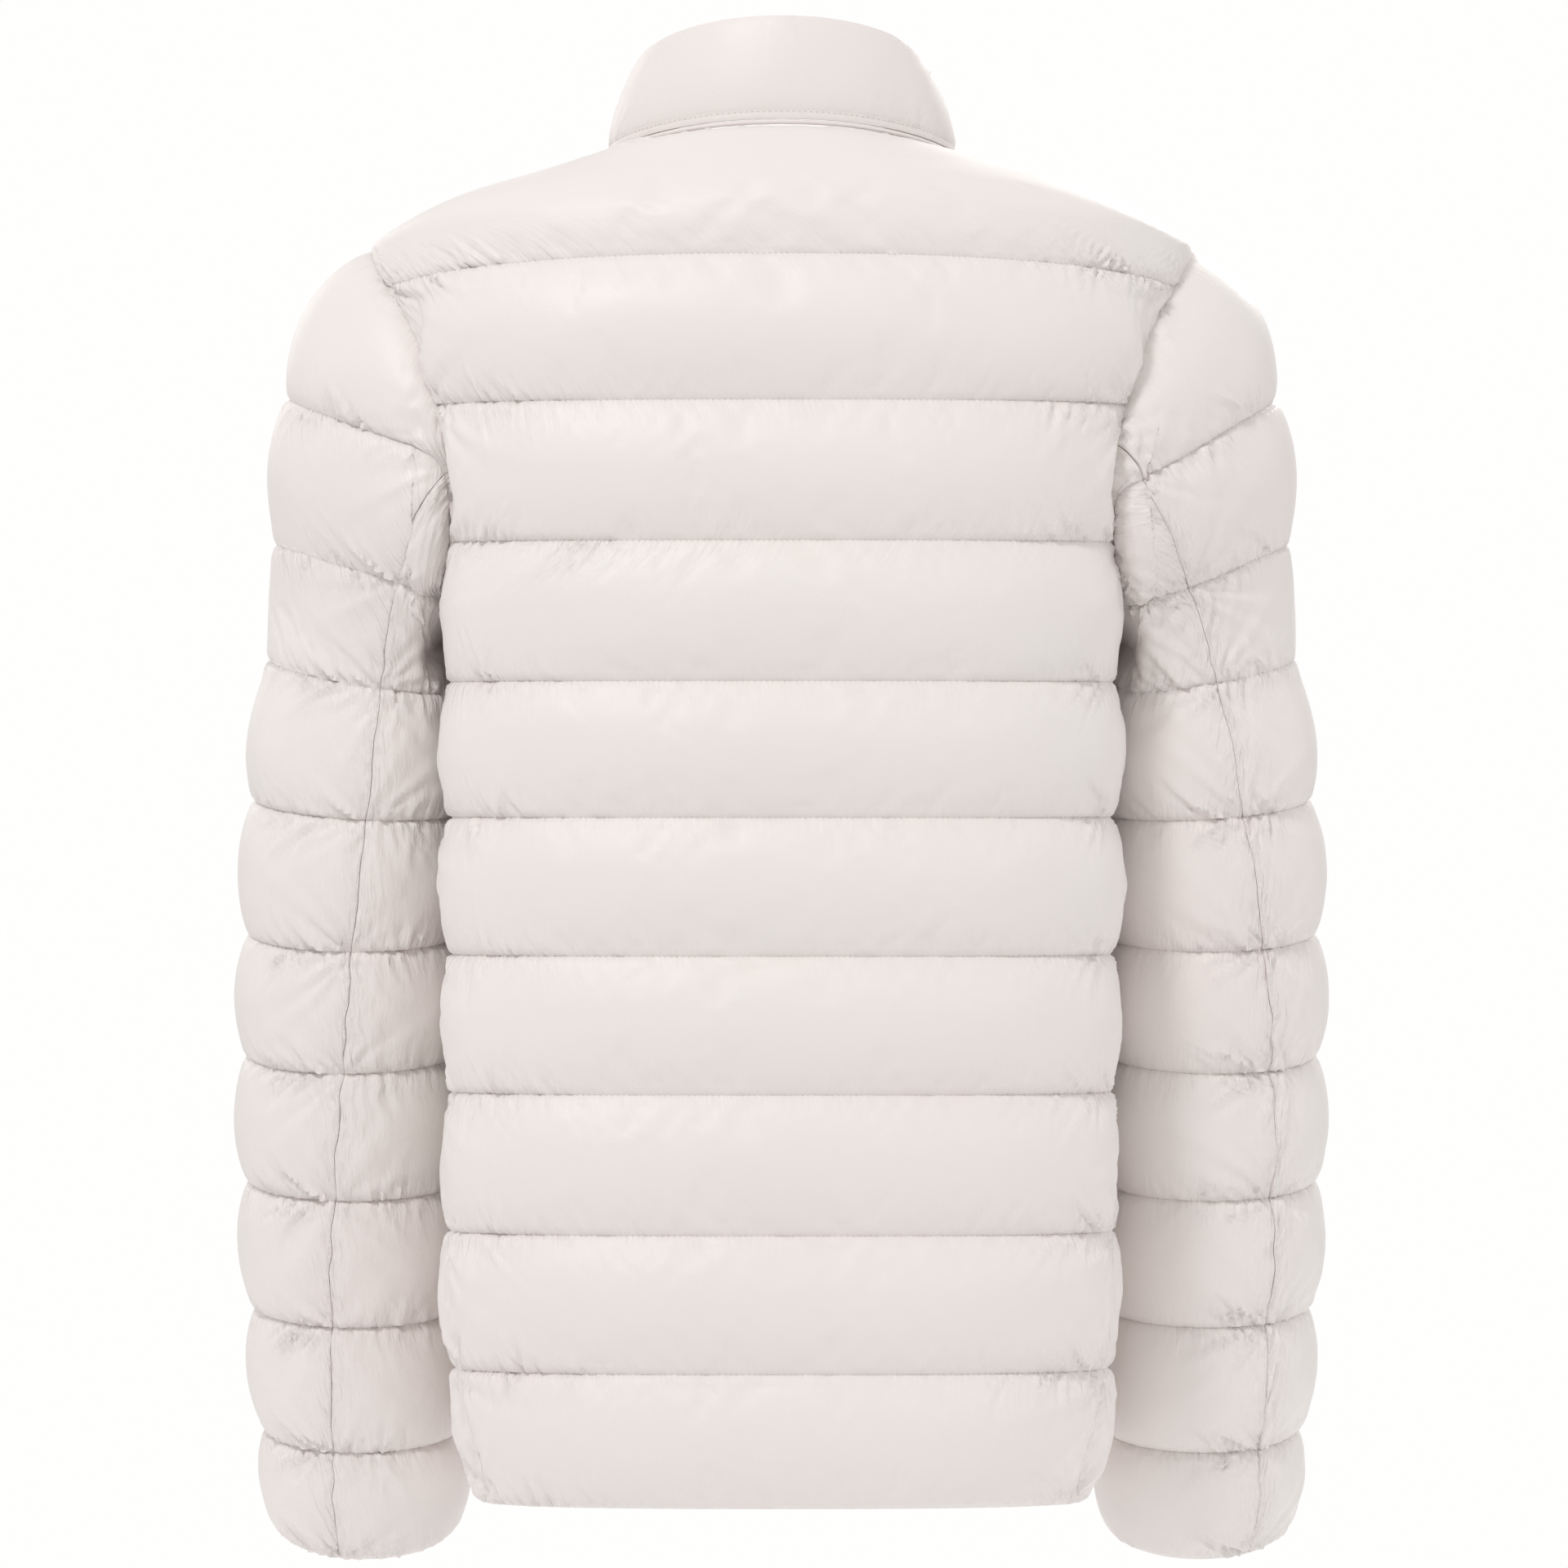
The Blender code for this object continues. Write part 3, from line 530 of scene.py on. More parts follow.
def corner_pulls(along, across, seed, reach, height):
    """Radiating folds out of a corner of a baffle."""
    distance = np.hypot(along, across)
    turn = np.arctan2(across, along)
    ridge = wave_noise(turn / 0.17 + distance / 60.0, seed)
    window = np.maximum(np.sin(np.clip(turn, 0, math.pi / 2) * 2), 0.0) ** 0.7
    swell = (distance / reach) * np.exp(1 - distance / reach)
    return height * ridge * window * swell


def fine_creases(grid, row_lines, seed, edge_pull):
    """How far creases and pulls lift the cloth, in millimetres, and how creased it is, from 0 to 1."""
    along, back_along, above, below, down = line_distances(grid, row_lines)
    lift, gathered = np.zeros(along.shape), np.zeros(along.shape)
    for i, (start, end) in enumerate(zip(row_lines[:-1], row_lines[1:])):
        part = slice(start, end + 1)
        places = gathered_places(grid[part], along[part], edge_pull)
        for across, code in ((above, 0), (below, 7)):
            key = seed + 40 * i + code
            near = along[part], across[part]
            lift[part] += seam_creases(*near, places, key, 30.0, CREASE_HEIGHT, (0.9, 2.1))
        for side, pull, code in ((along, edge_pull[0], 11), (back_along, edge_pull[1], 19)):
            for across, flip in ((above, 0), (below, 3)):
                key = seed + 60 * i + code + flip
                lift[part] += pull * corner_pulls(side[part], across[part], key, 17.0, CORNER_FOLD_HEIGHT)
        for centre, _, pull in places:
            gathered[part] += pull * np.exp(-np.abs(along[part] - centre) / 28.0)
    for side, pull, code in ((along, edge_pull[0], 301), (back_along, edge_pull[1], 401)):
        ends = ((0.0, 1, 0.5), (float(down.max()), -1, 0.5))
        turned = seam_creases(down.T, side.T, ends, seed + code, 6.5, 1.3 * CREASE_HEIGHT, (1.4, 2.6))
        lift += pull * turned.T
    quiet = np.minimum(np.minimum(above, below), np.minimum(along, back_along))
    busy = 0.18 + 0.14 * wave_noise(along / 38.0 + down / 71.0, seed + 3) + 0.9 * np.minimum(gathered, 1.0)
    creased = np.clip(np.clip(busy, 0.05, 1.0) * np.exp(-quiet / 11.0) * 1.2, 0.0, 1.0)
    lift = DEEPEST_CREASE * np.tanh(lift / DEEPEST_CREASE) * smooth((above + below) / 30.0)
    return lift * smooth(quiet / 1.0 + 0.3), creased, along, down


def panel(
    name, grid, normals, row_lines, seed, puff, edge_pull, edge_shape=None, pressure=5.0, crease_share=1.0
):
    """One padded, quilted panel of cloth, from its seam-level grid. edge_shape gives the share of padding for
    each point that its distance from the panel's two sides leaves."""
    along, back_along, above, below, down = line_distances(grid, row_lines)
    height = above + below
    profile = np.maximum(np.sin(math.pi * above / np.maximum(height, 1e-6)), 0.0) ** QUILT_ROUNDNESS
    nearest = np.minimum(along, back_along)
    edge = edge_share(nearest) if edge_shape is None else edge_shape(grid, along, back_along)
    full = profile * edge * np.minimum(1.0, height / FULL_BAFFLE)
    uneven = patch_noise(along / 70.0, down / 50.0, seed + 21) * 0.06
    uneven = uneven + patch_noise(along / 27.0, down / 24.0, seed + 22) * 0.05 * np.exp(-nearest / 40.0)
    outer = grid + normals * (OUTSIDE_AT_SEAM + puff * full * (1 + uneven))[:, :, None]
    if pressure:
        coarse = outer[::2, ::2]
        pinned = np.zeros(coarse.shape[:2], bool)
        pinned[[line // 2 for line in row_lines]] = True
        pinned[:, [0, -1]] = True
        slack = np.clip(np.exp(-nearest / SLACK_REACH), 0, 1)[::2, ::2]
        dents = 0.3 * patch_noise(along / 6.0, down / 7.0, seed + 23)[::2, ::2] * slack * ~pinned
        start = coarse + grid_normals(coarse) * dents[:, :, None]
        billow = settle(name, start, pinned, slack, pressure) + (start - coarse)
        outer = outer + finer(finer(billow, 0), 1)
    lift, creased, _, _ = fine_creases(outer, row_lines, seed, edge_pull)
    outer = outer + grid_normals(outer) * (crease_share * lift)[:, :, None]
    inner = grid - normals * (HALF_WALL + INNER_PUFF_SHARE * puff * full)[:, :, None]
    obj = wall(name, outer, inner, INSIDE_EVERY)
    store(obj, "creased", creased * crease_share, 0.3)
    lay_uv(obj, along, down)
    return obj, outer


def edge_share(distance, taper=EDGE_TAPER, floor=0.0):
    """How full the padding is this far from a panel's side."""
    return floor + (1 - floor) * (1 - np.exp(-((np.maximum(distance, 0) / taper) ** 1.3)))


def set_uv(data, flat):
    """The UV map that the finishes read, from one place for each point."""
    corner = np.empty(len(data.loops), np.int32)
    data.loops.foreach_get("vertex_index", corner)
    data.uv_layers.new(name="cloth").data.foreach_set("uv", flat[corner].ravel())


def lay_uv(obj, along, down):
    """A UV map in metres of cloth, along the rows and down them."""
    count = len(obj.data.vertices)
    flat = np.zeros((count, 2), np.float32)
    flat[: along.size, 0] = along.ravel() * MM
    flat[: along.size, 1] = -down.ravel() * MM
    low = (slice(None, None, INSIDE_EVERY),) * 2
    flat[along.size :, 0] = along[low].ravel() * MM
    flat[along.size :, 1] = -down[low].ravel() * MM
    set_uv(obj.data, flat)


# ---- Panels ----


def stepped(stops, steps):
    """Even steps between stops. Returns the values and the number of each stop."""
    values = [np.linspace(a, b, n, endpoint=False) for a, b, n in zip(stops[:-1], stops[1:], steps)]
    numbers = np.concatenate([[0], np.cumsum(steps)]).tolist()
    return np.concatenate(values + [[stops[-1]]]), numbers


def body_rows():
    lines = list(range(HEM_ROW + 1))
    return stepped([float(line) for line in lines], [YOKE_STEPS] + [BAFFLE_STEPS] * (HEM_ROW - 1))


def underarm_share(grid):
    """Less padding round the underarm, where the body and the sleeve press on each other."""
    back = (grid[..., 1] - SIDE_SEAM_TOP) / UNDERARM_SPREAD
    down = (grid[..., 2] - ARMHOLE_BOTTOM) / UNDERARM_SPREAD
    near_side = np.abs(grid[..., 0]) > 130
    return 1 - 0.85 * near_side * np.exp(-(back**2) - down**2)


def body_edge_shape(grid, along, back_along):
    """Padding near a body panel's sides. It rolls over sharply at the armholes, and leaves flat each
    shoulder's tip and a small corner under the yoke."""
    nearest = np.minimum(along, back_along)
    z = grid[..., 2]
    by_armhole = smooth((z - ARMHOLE_BOTTOM) / 40.0) * (np.abs(grid[..., 0]) > 90)
    taper = EDGE_TAPER + (ARMHOLE_ROLL - EDGE_TAPER) * by_armhole
    row = row_at_height(z)
    corner = smooth((row - 0.95) / 0.1) * smooth((1.75 - row) / 0.7) * (grid[..., 1] > 0) * 20.0
    at_tip = np.exp(-(((np.abs(grid[..., 0]) - 205) / 34) ** 2) - ((z - ARMHOLE_TOP) / 26) ** 2)
    return edge_share(nearest - corner, taper) * underarm_share(grid) * (1 - 0.9 * at_tip)


def sleeve_edge_shape(grid, along, back_along):
    """Padding near a sleeve's long seams, which only dent it."""
    nearest = np.minimum(along, back_along)
    return edge_share(nearest, 6.0, 0.78) * underarm_share(grid)


def crowded(columns, gap):
    """Shares across a panel, closer together towards its two sides, where the creases are."""
    even = np.linspace(0, 1, columns)
    share = even - CROWDING * np.sin(2 * math.pi * even) / (2 * math.pi)
    return gap + (1 - 2 * gap) * share


def body_grid(start, end, rows, columns):
    """Points and outward directions of one body panel between two angles at each row."""
    step = (end - start)[:, None]
    share = crowded(columns, SEAM_GAP / 2 / 190.0)[None, :]
    angles = start[:, None] + step * share
    rows = np.broadcast_to(rows[:, None], angles.shape)
    points = body_points(rows, angles)
    along = body_points(rows, angles + 0.01) - body_points(rows, angles - 0.01)
    down = body_points(np.minimum(rows + 0.02, HEM_ROW), angles)
    down = down - body_points(np.maximum(rows - 0.02, 0.0), angles)
    return points, unit(np.cross(down, along))


def mirrored(grid):
    return grid * np.array([-1.0, 1.0, 1.0])


def back_grid(columns=BACK_STEPS + 1):
    rows, lines = body_rows()
    start = body_angle(rows, seam_depth(rows, 1))
    return body_grid(start, math.pi - start, rows, columns), lines


def front_grid(columns=FRONT_STEPS + 1):
    """The left front, from the seam at its side to the zip."""
    rows, lines = body_rows()
    start = body_angle(rows, seam_depth(rows, -1))
    sizes = chart_at(BODY_CHART, rows)
    at_zip = (FRONT_EDGE / (sizes[:, 1] * (1 - sizes[:, 6]))) ** (sizes[:, 7] / 2)
    end = -math.pi / 2 + at_zip
    quilt = [line for number, line in enumerate(lines) if number == 0 or number >= FRONT_FIRST_QUILT_ROW]
    return body_grid(start, end, rows, columns), quilt


def cap_shares(turns):
    """Where on the sleeve's head its two quilt lines run, for each column, as shares of the way down."""
    round_turns = np.linspace(0, 2 * math.pi, 240, endpoint=False)
    shares = np.linspace(0, 1, 121)[:, None]
    heights = sleeve_points(shares + 0 * round_turns, round_turns + 0 * shares, round_turns)[..., 2]
    inward = (1 - np.cos(round_turns)) / 2
    outer_inner = [outer + (inner - outer) * inward for outer, inner in CAP_LINE_HEIGHTS]
    found = [(heights > level).sum(axis=0) / 120.0 for level in outer_inner]
    first = np.clip(found[0], 0.03, 0.62)
    second = np.clip(np.maximum(found[1], first + 0.03), 0.06, 0.9)
    kernel = np.hanning(19)[1:-1]
    kernel /= kernel.sum()
    lines = [np.convolve(np.pad(line, 8, mode="wrap"), kernel, mode="valid") for line in (first, second)]
    return [np.interp(np.mod(turns, 2 * math.pi), round_turns, line, period=2 * math.pi) for line in lines]


def sleeve_grid(side, outer):
    """The outer or the under sleeve panel, from one long seam to the other. Right sleeves are mirrored."""
    columns = (SLEEVE_OUTER_STEPS if outer else SLEEVE_UNDER_STEPS) + 1
    share = crowded(columns, 0.0004)

    def turns_at(rows):
        down = smooth(rows / ELBOW_SETTLED[side])[..., None]
        elbow = ELBOW_SEAM[side][0] + (ELBOW_SEAM[side][1] - ELBOW_SEAM[side][0]) * down
        strays = wave_noise(rows * 6.5, 77)[..., None] * (rows > 0)[..., None]
        elbow = np.radians(elbow + SEAM_WANDER * strays)
        front = np.radians(FRONT_SEAM[0] + (FRONT_SEAM[1] - FRONT_SEAM[0]) * down)
        first, last = (front - 2 * math.pi, elbow) if outer else (elbow, front)
        return first + (last - first) * share

    edge_turns = turns_at(np.array([0.0]))[0]
    ring_turns = turns_at(np.array([float(CAP_ROW)]))[0]
    first, second = cap_shares(ring_turns)
    steps = np.linspace(0, 1, BAFFLE_STEPS, endpoint=False)[:, None]
    shares = np.concatenate([first * steps, first + (second - first) * steps, second + (1 - second) * steps])
    head_turns = turns_at(np.linspace(0, CAP_ROW, len(shares), endpoint=False))
    head = sleeve_points(shares, head_turns, edge_turns)
    rows, lines = stepped([float(r) for r in range(CAP_ROW, CUFF_ROW + 1)], [BAFFLE_STEPS] * 7)
    tube = sleeve_ring_points(rows[:, None] + 0 * share, turns_at(rows))
    grid = np.concatenate([head, tube])
    quilt = [0, BAFFLE_STEPS, 2 * BAFFLE_STEPS] + [3 * BAFFLE_STEPS + line for line in lines]
    normals = grid_normals(grid)
    if side < 0:
        grid, normals = mirrored(grid), mirrored(normals)
        grid, normals = grid[:, ::-1], normals[:, ::-1]
    return (grid, normals), quilt


def declare(obj, slot, *nodes, body=BODY):
    """Puts a finished piece on its body, in the place of its plain solids, which it hides. The slot is not
    used.
    """
    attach(obj, body)
    if nodes:
        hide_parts(*nodes)


def quilt_paths(outer, lines):
    """Runs of points on a panel along its inner quilt lines, but not where two lines run together."""
    paths = []
    for before, line, after in zip(lines[:-2], lines[1:-1], lines[2:]):
        room = np.linalg.norm(outer[line] - outer[(before + line) // 2], axis=1)
        room = np.minimum(room, np.linalg.norm(outer[line] - outer[(line + after) // 2], axis=1))
        clear = np.flatnonzero(room[1:-1] > 6.0) + 1
        if len(clear) > 3:
            paths.append(outer[line, clear[0] : clear[-1] + 1])
    return paths


def finish_panel(name, grids, lines, seed, puff, edge_pull, edge_shape):
    """A padded panel with its finish and stitching paths, on its body. Returns its outer face's points."""
    finish = shell_finish()
    grid, normals = grids
    pressure = bpy.context.scene.jacket_cloth.pressure
    obj, outer = panel(name, grid, normals, lines, seed, puff, edge_pull, edge_shape, pressure)
    obj.data.materials.append(finish)
    declare(obj, "shell", name.replace("quilted_", ""))
    SEAM_PATHS[name] = quilt_paths(outer, lines)
    return outer


# ---- Collar ----


def neck_angles(columns):
    sizes = chart_at(BODY_CHART, np.array([0.0]))[0]
    at_zip = (FRONT_EDGE / (sizes[1] * (1 - sizes[6]))) ** (sizes[7] / 2)
    return np.linspace(-math.pi / 2 + at_zip, 1.5 * math.pi - at_zip, columns)


def collar_points(angles, rises):
    base = body_points(np.zeros(angles.shape), angles) + np.array([0.0, 0.0, COLLAR_BASE_LIFT])
    top = ring_points(COLLAR_TOP, angles, sag_power=1.2)
    size = np.maximum(np.abs(top[..., 0]), 1e-6)
    top[..., 0] *= np.maximum(1.0, FRONT_EDGE / size)
    stand = np.array([0.0, 0.0, 26.0])
    return hermite(base, stand * 0.9, top, (top - base) * 1.05, rises[..., None])


def collar_grid(columns):
    """The collar from its top edge down, and the row that its lowest stitching follows."""
    rises = 1 - np.linspace(0, 1, COLLAR_ROWS + 1)[:, None] + np.zeros((1, columns))
    grid = collar_points(neck_angles(columns)[None, :] + 0 * rises, rises)
    return grid, [0, COLLAR_ROWS - COLLAR_STITCH_ROW, COLLAR_ROWS]


def tube(name, route, radius, sides, wobble_seed):
    """A closed round strip along a route, a little uneven, with its UV map in metres."""
    steps = np.linalg.norm(np.diff(route, axis=0), axis=1)
    walked = np.concatenate([[0.0], np.cumsum(steps)])
    ahead = unit(np.gradient(route, axis=0))
    across = unit(np.cross(ahead, np.array([0.0, 0.0, 1.0])))
    over = unit(np.cross(across, ahead))
    turns = np.linspace(0, 2 * math.pi, sides, endpoint=False)
    size = radius * (1 + 0.05 * wave_noise(walked / 4.0, wobble_seed))[:, None, None]
    ring = across[:, None] * np.cos(turns)[None, :, None] + over[:, None] * np.sin(turns)[None, :, None]
    points = route[:, None] + size * ring
    faces = []
    for i in range(len(route) - 1):
        for k in range(sides):
            a, b = i * sides + k, i * sides + (k + 1) % sides
            faces.append([a, b, b + sides, a + sides])
    last = (len(route) - 1) * sides
    faces.append(list(range(sides))[::-1])
    faces.append([last + k for k in range(sides)])
    data = new_mesh(name, points, faces)
    recalculate(data)
    smooth_shaded(data, 60)
    return link(name, data)


def smooth_shaded(data, degrees):
    """Smooth shading, but for edges sharper than this."""
    data.shade_smooth()
    data.set_sharp_from_angle(angle=math.radians(degrees))


def recalculate(data):
    mesh = bmesh.new()
    mesh.from_mesh(data)
    bmesh.ops.recalc_face_normals(mesh, faces=mesh.faces)
    mesh.to_mesh(data)
    mesh.free()


# ---- Zip ----


def zip_route():
    """The zip's middle line from the collar's top edge down to the hem, and the way out of the front."""
    rises = np.linspace(1.0, 0.06, 26)
    neck = collar_points(np.full(26, -math.pi / 2), rises)
    rows = np.linspace(0.0, HEM_ROW, 320)
    body = body_points(rows, np.full(320, -math.pi / 2))
    route = np.concatenate([neck, body])
    route[:, 0] = 0.0
    steps = np.linalg.norm(np.diff(route, axis=0), axis=1)
    walked = np.concatenate([[0.0], np.cumsum(steps)])
    even = np.linspace(0, walked[-1], 420)
    route = np.stack([np.interp(even, walked, route[:, axis]) for axis in range(3)], axis=1)
    for _ in range(6):
        route[1:-1] = (route[:-2] + 2 * route[1:-1] + route[2:]) / 4
    run = np.gradient(route, axis=0)
    out = unit(np.stack([0 * even, run[:, 2], -run[:, 1]], axis=1))
    return route, np.where(out[:, 1:2] > 0, -out, out), even


def zip_tape(name, side):
    """One woven tape, with the thicker bead that its teeth sit on, drawn in behind the front's edge."""
    route, out, walked = zip_route()
    across = np.linspace(TAPE_INNER, TAPE_OUTER, 13)
    bead = 0.35 * np.exp(-(((across - TAPE_INNER - 0.6) / 0.6) ** 2))
    layers = []
    for face in (1, -1):
        depth = face * (TAPE_HALF_THICKNESS + bead) - TAPE_INSET
        line = route[:, None] + out[:, None] * depth[None, :, None]
        line[..., 0] = side * across
        layers.append(line)
    outer, inner = layers
    rows, columns = outer.shape[:2]
    faces = grid_quads(rows, columns) + grid_quads(rows, columns, rows * columns, inward=True)
    edge = border(rows, columns).tolist()
    for a, b in zip(edge, edge[1:] + edge[:1]):
        faces.append([a, b, b + rows * columns, a + rows * columns])
    data = new_mesh(name, np.concatenate([outer.reshape(-1, 3), inner.reshape(-1, 3)]), faces)
    recalculate(data)
    smooth_shaded(data, 50)
    uv = np.stack(np.broadcast_arrays(across[None, :], -walked[:, None]), axis=-1) * MM
    flat = np.concatenate([uv.reshape(-1, 2)] * 2).astype(np.float32)
    set_uv(data, flat)
    return link(name, data)


# ---- Geometry Nodes: stitches and teeth ----


def node_tree(name, inputs):
    """A geometry node tree with named inputs. Returns it with its input and output nodes."""
    tree = bpy.data.node_groups.new(name, "GeometryNodeTree")
    tree.is_modifier = True
    tree.interface.new_socket("Geometry", in_out="INPUT", socket_type="NodeSocketGeometry")
    for label, kind, value in inputs:
        socket = tree.interface.new_socket(label, in_out="INPUT", socket_type=kind)
        if value is not None:
            socket.default_value = value
    tree.interface.new_socket("Geometry", in_out="OUTPUT", socket_type="NodeSocketGeometry")
    return tree, tree.nodes.new("NodeGroupInput"), tree.nodes.new("NodeGroupOutput")


def add(tree, kind, **settings):
    node = tree.nodes.new(kind)
    for name, value in settings.items():
        setattr(node, name, value)
    return node


def along_route_tree(name, make_link):
    """A tree that sets one small link after another along every run of the mesh's edges."""
    inputs = (
        ("Pitch", "NodeSocketFloat", 0.0028),
        ("Link size", "NodeSocketVector", (0.0005, 0.0005, 0.002)),
        ("Tilt", "NodeSocketFloat", 0.05),
        ("Seed", "NodeSocketInt", 3),
        ("Finish", "NodeSocketMaterial", None),
    )
    tree, given, result = node_tree(name, inputs)
    curve = add(tree, "GeometryNodeMeshToCurve")
    even = add(tree, "GeometryNodeResampleCurve")
    even.mode = "LENGTH"
    tangent = add(tree, "GeometryNodeInputTangent")
    turn = add(tree, "FunctionNodeAlignRotationToVector", axis="Z", pivot_axis="X")
    tilt = add(tree, "FunctionNodeRandomValue", data_type="FLOAT_VECTOR")
    less = add(tree, "ShaderNodeVectorMath", operation="SCALE")
    euler = add(tree, "FunctionNodeEulerToRotation")
    rotate = add(tree, "FunctionNodeRotateRotation", rotation_space="LOCAL")
    place = add(tree, "GeometryNodeInstanceOnPoints")
    real = add(tree, "GeometryNodeRealizeInstances")
    shade = add(tree, "GeometryNodeSetShadeSmooth")
    finish = add(tree, "GeometryNodeSetMaterial")
    tilt.inputs["Min"].default_value = (-1, -1, -1)
    tilt.inputs["Max"].default_value = (1, 1, 1)
    wires = (
        (given.outputs["Geometry"], curve, "Mesh"),
        (curve.outputs["Curve"], even, "Curve"),
        (given.outputs["Pitch"], even, "Length"),
        (tangent.outputs[0], turn, "Vector"),
        (given.outputs["Seed"], tilt, "Seed"),
        (tilt.outputs["Value"], less, 0),
        (given.outputs["Tilt"], less, "Scale"),
        (less.outputs["Vector"], euler, "Euler"),
        (turn.outputs["Rotation"], rotate, "Rotation"),
        (euler.outputs["Rotation"], rotate, "Rotate By"),
        (even.outputs["Curve"], place, "Points"),
        (make_link(tree), place, "Instance"),
        (rotate.outputs["Rotation"], place, "Rotation"),
        (given.outputs["Link size"], place, "Scale"),
        (place.outputs["Instances"], real, "Geometry"),
        (real.outputs["Geometry"], shade, "Geometry"),
        (shade.outputs["Geometry"], finish, "Geometry"),
        (given.outputs["Finish"], finish, "Material"),
        (finish.outputs["Geometry"], result, "Geometry"),
    )
    for source, node, socket in wires:
        tree.links.new(source, node.inputs[socket])
    return tree


def stitch_link(tree):
    """A round-ended thread link, one unit long and wide."""
    bead = add(tree, "GeometryNodeMeshUVSphere")
    bead.inputs["Segments"].default_value = 6
    bead.inputs["Rings"].default_value = 4
    bead.inputs["Radius"].default_value = 0.5
    return bead.outputs["Mesh"]


def tooth_link(tree):
    """A moulded zip tooth: a shank and a wider head, one unit overall."""
    both = add(tree, "GeometryNodeJoinGeometry")
    for size, shift in (((0.8, 0.72, 0.62), (0.12, 0, 0)), ((0.36, 1.0, 0.9), (-0.3, 0, 0))):
        cube = add(tree, "GeometryNodeMeshCube")
        move = add(tree, "GeometryNodeTransform")
        cube.inputs["Size"].default_value = size
        move.inputs["Translation"].default_value = shift
        tree.links.new(cube.outputs["Mesh"], move.inputs["Geometry"])
        tree.links.new(move.outputs["Geometry"], both.inputs["Geometry"])
    return both.outputs["Geometry"]


def run_along(name, paths, tree, values):
    """A plain mesh of small links along these runs of points, in millimetres."""
    points = np.concatenate(paths)
    edges, start = [], 0
    for path in paths:
        edges += [(start + k, start + k + 1) for k in range(len(path) - 1)]
        start += len(path)
    data = bpy.data.meshes.new(name)
    data.from_pydata((points * MM).tolist(), edges, [])
    obj = link(name, data)
    modifier = obj.modifiers.new("links", "NODES")
    modifier.node_group = tree
    for item in tree.interface.items_tree:
        if item.in_out == "INPUT" and item.name in values:
            modifier[item.identifier] = values[item.name]
    bpy.context.view_layer.update()
    graph = bpy.context.evaluated_depsgraph_get()
    made = bpy.data.meshes.new_from_object(obj.evaluated_get(graph), depsgraph=graph)
    obj.modifiers.clear()
    obj.data = made
    made.name = name
    bpy.data.meshes.remove(data)
    return obj


# ---- Shader groups and finishes ----


def shader_group(name, inputs, outputs):
    if name in bpy.data.node_groups:
        return bpy.data.node_groups[name], None, None
    tree = bpy.data.node_groups.new(name, "ShaderNodeTree")
    for label, kind, value in inputs:
        tree.interface.new_socket(label, in_out="INPUT", socket_type=kind).default_value = value
    for label, kind in outputs:
        tree.interface.new_socket(label, in_out="OUTPUT", socket_type=kind)
    return tree, tree.nodes.new("NodeGroupInput"), tree.nodes.new("NodeGroupOutput")


def maths(tree, operation, first, second=None):
    node = add(tree, "ShaderNodeMath", operation=operation)
    for socket, value in zip(node.inputs, (first, second)):
        if isinstance(value, (int, float)):
            socket.default_value = value
        elif value is not None:
            tree.links.new(value, socket)
    return node.outputs[0]


def noise(tree, where, scale, detail=2.0, roughness=0.5):
    node = add(tree, "ShaderNodeTexNoise", noise_dimensions="3D", noise_type="FBM")
    node.inputs["Scale"].default_value = scale
    node.inputs["Detail"].default_value = detail
    node.inputs["Roughness"].default_value = roughness
    tree.links.new(where, node.inputs["Vector"])
    return node.outputs["Factor" if "Factor" in node.outputs else "Fac"]


def mix_colour(tree, amount, first, second):
    node = add(tree, "ShaderNodeMix", data_type="RGBA")
    for index, value in ((0, amount), (6, first), (7, second)):
        if isinstance(value, (int, float)):
            node.inputs[index].default_value = value
        elif isinstance(value, tuple):
            node.inputs[index].default_value = value
        else:
            tree.links.new(value, node.inputs[index])
    return node.outputs[2]


def tone_group():
    """Slow drifts of a cloth's colour between its main tone, a rosier one and a creamier one, and painted
    shade: creased places are tinted towards the rosier, darker tone.
    """
    colour = "NodeSocketColor"
    tree, given, result = shader_group(
        "Tone drift",
        [("Main", colour, (0.8, 0.8, 0.8, 1)), ("Rosy", colour, (0.8, 0.75, 0.75, 1)),
         ("Creamy", colour, (0.8, 0.78, 0.72, 1)), ("Creased", "NodeSocketFloat", 0.0)],
        [("Colour", colour)],
    )
    if given is None:
        return tree
    where = add(tree, "ShaderNodeTexCoord").outputs["Object"]
    rosy = maths(tree, "MULTIPLY", noise(tree, where, 9.0, 3.0), 1.15)
    creamy = maths(tree, "POWER", noise(tree, where, 5.5, 2.0), 1.3)
    first = mix_colour(tree, rosy, given.outputs["Main"], given.outputs["Rosy"])
    second = mix_colour(tree, creamy, first, given.outputs["Creamy"])
    # Painted shade: where the Creased mask is high, the colour goes a tenth of the way to the rosier, darker
    # tone.
    shade = maths(tree, "MULTIPLY", given.outputs["Creased"], 0.10)
    final = mix_colour(tree, shade, second, given.outputs["Rosy"])
    tree.links.new(final, result.inputs["Colour"])
    return tree


def weave_group():
    """Threads crossing over and under, on the cloth's own map. Height from 0 to 1."""
    tree, given, result = shader_group(
        "Plain weave",
        [("Threads per metre", "NodeSocketFloat", 2500.0)],
        [("Height", "NodeSocketFloat")],
    )
    if given is None:
        return tree
    uv = add(tree, "ShaderNodeUVMap", uv_map="cloth").outputs["UV"]
    split = add(tree, "ShaderNodeSeparateXYZ")
    tree.links.new(uv, split.inputs[0])
    rate = maths(tree, "MULTIPLY", given.outputs["Threads per metre"], math.pi)
    across = maths(tree, "SINE", maths(tree, "MULTIPLY", split.outputs["X"], rate))
    down = maths(tree, "SINE", maths(tree, "MULTIPLY", split.outputs["Y"], rate))
    height = maths(tree, "ADD", maths(tree, "MULTIPLY", maths(tree, "MULTIPLY", across, down), 0.5), 0.5)
    tree.links.new(height, result.inputs["Height"])
    return tree


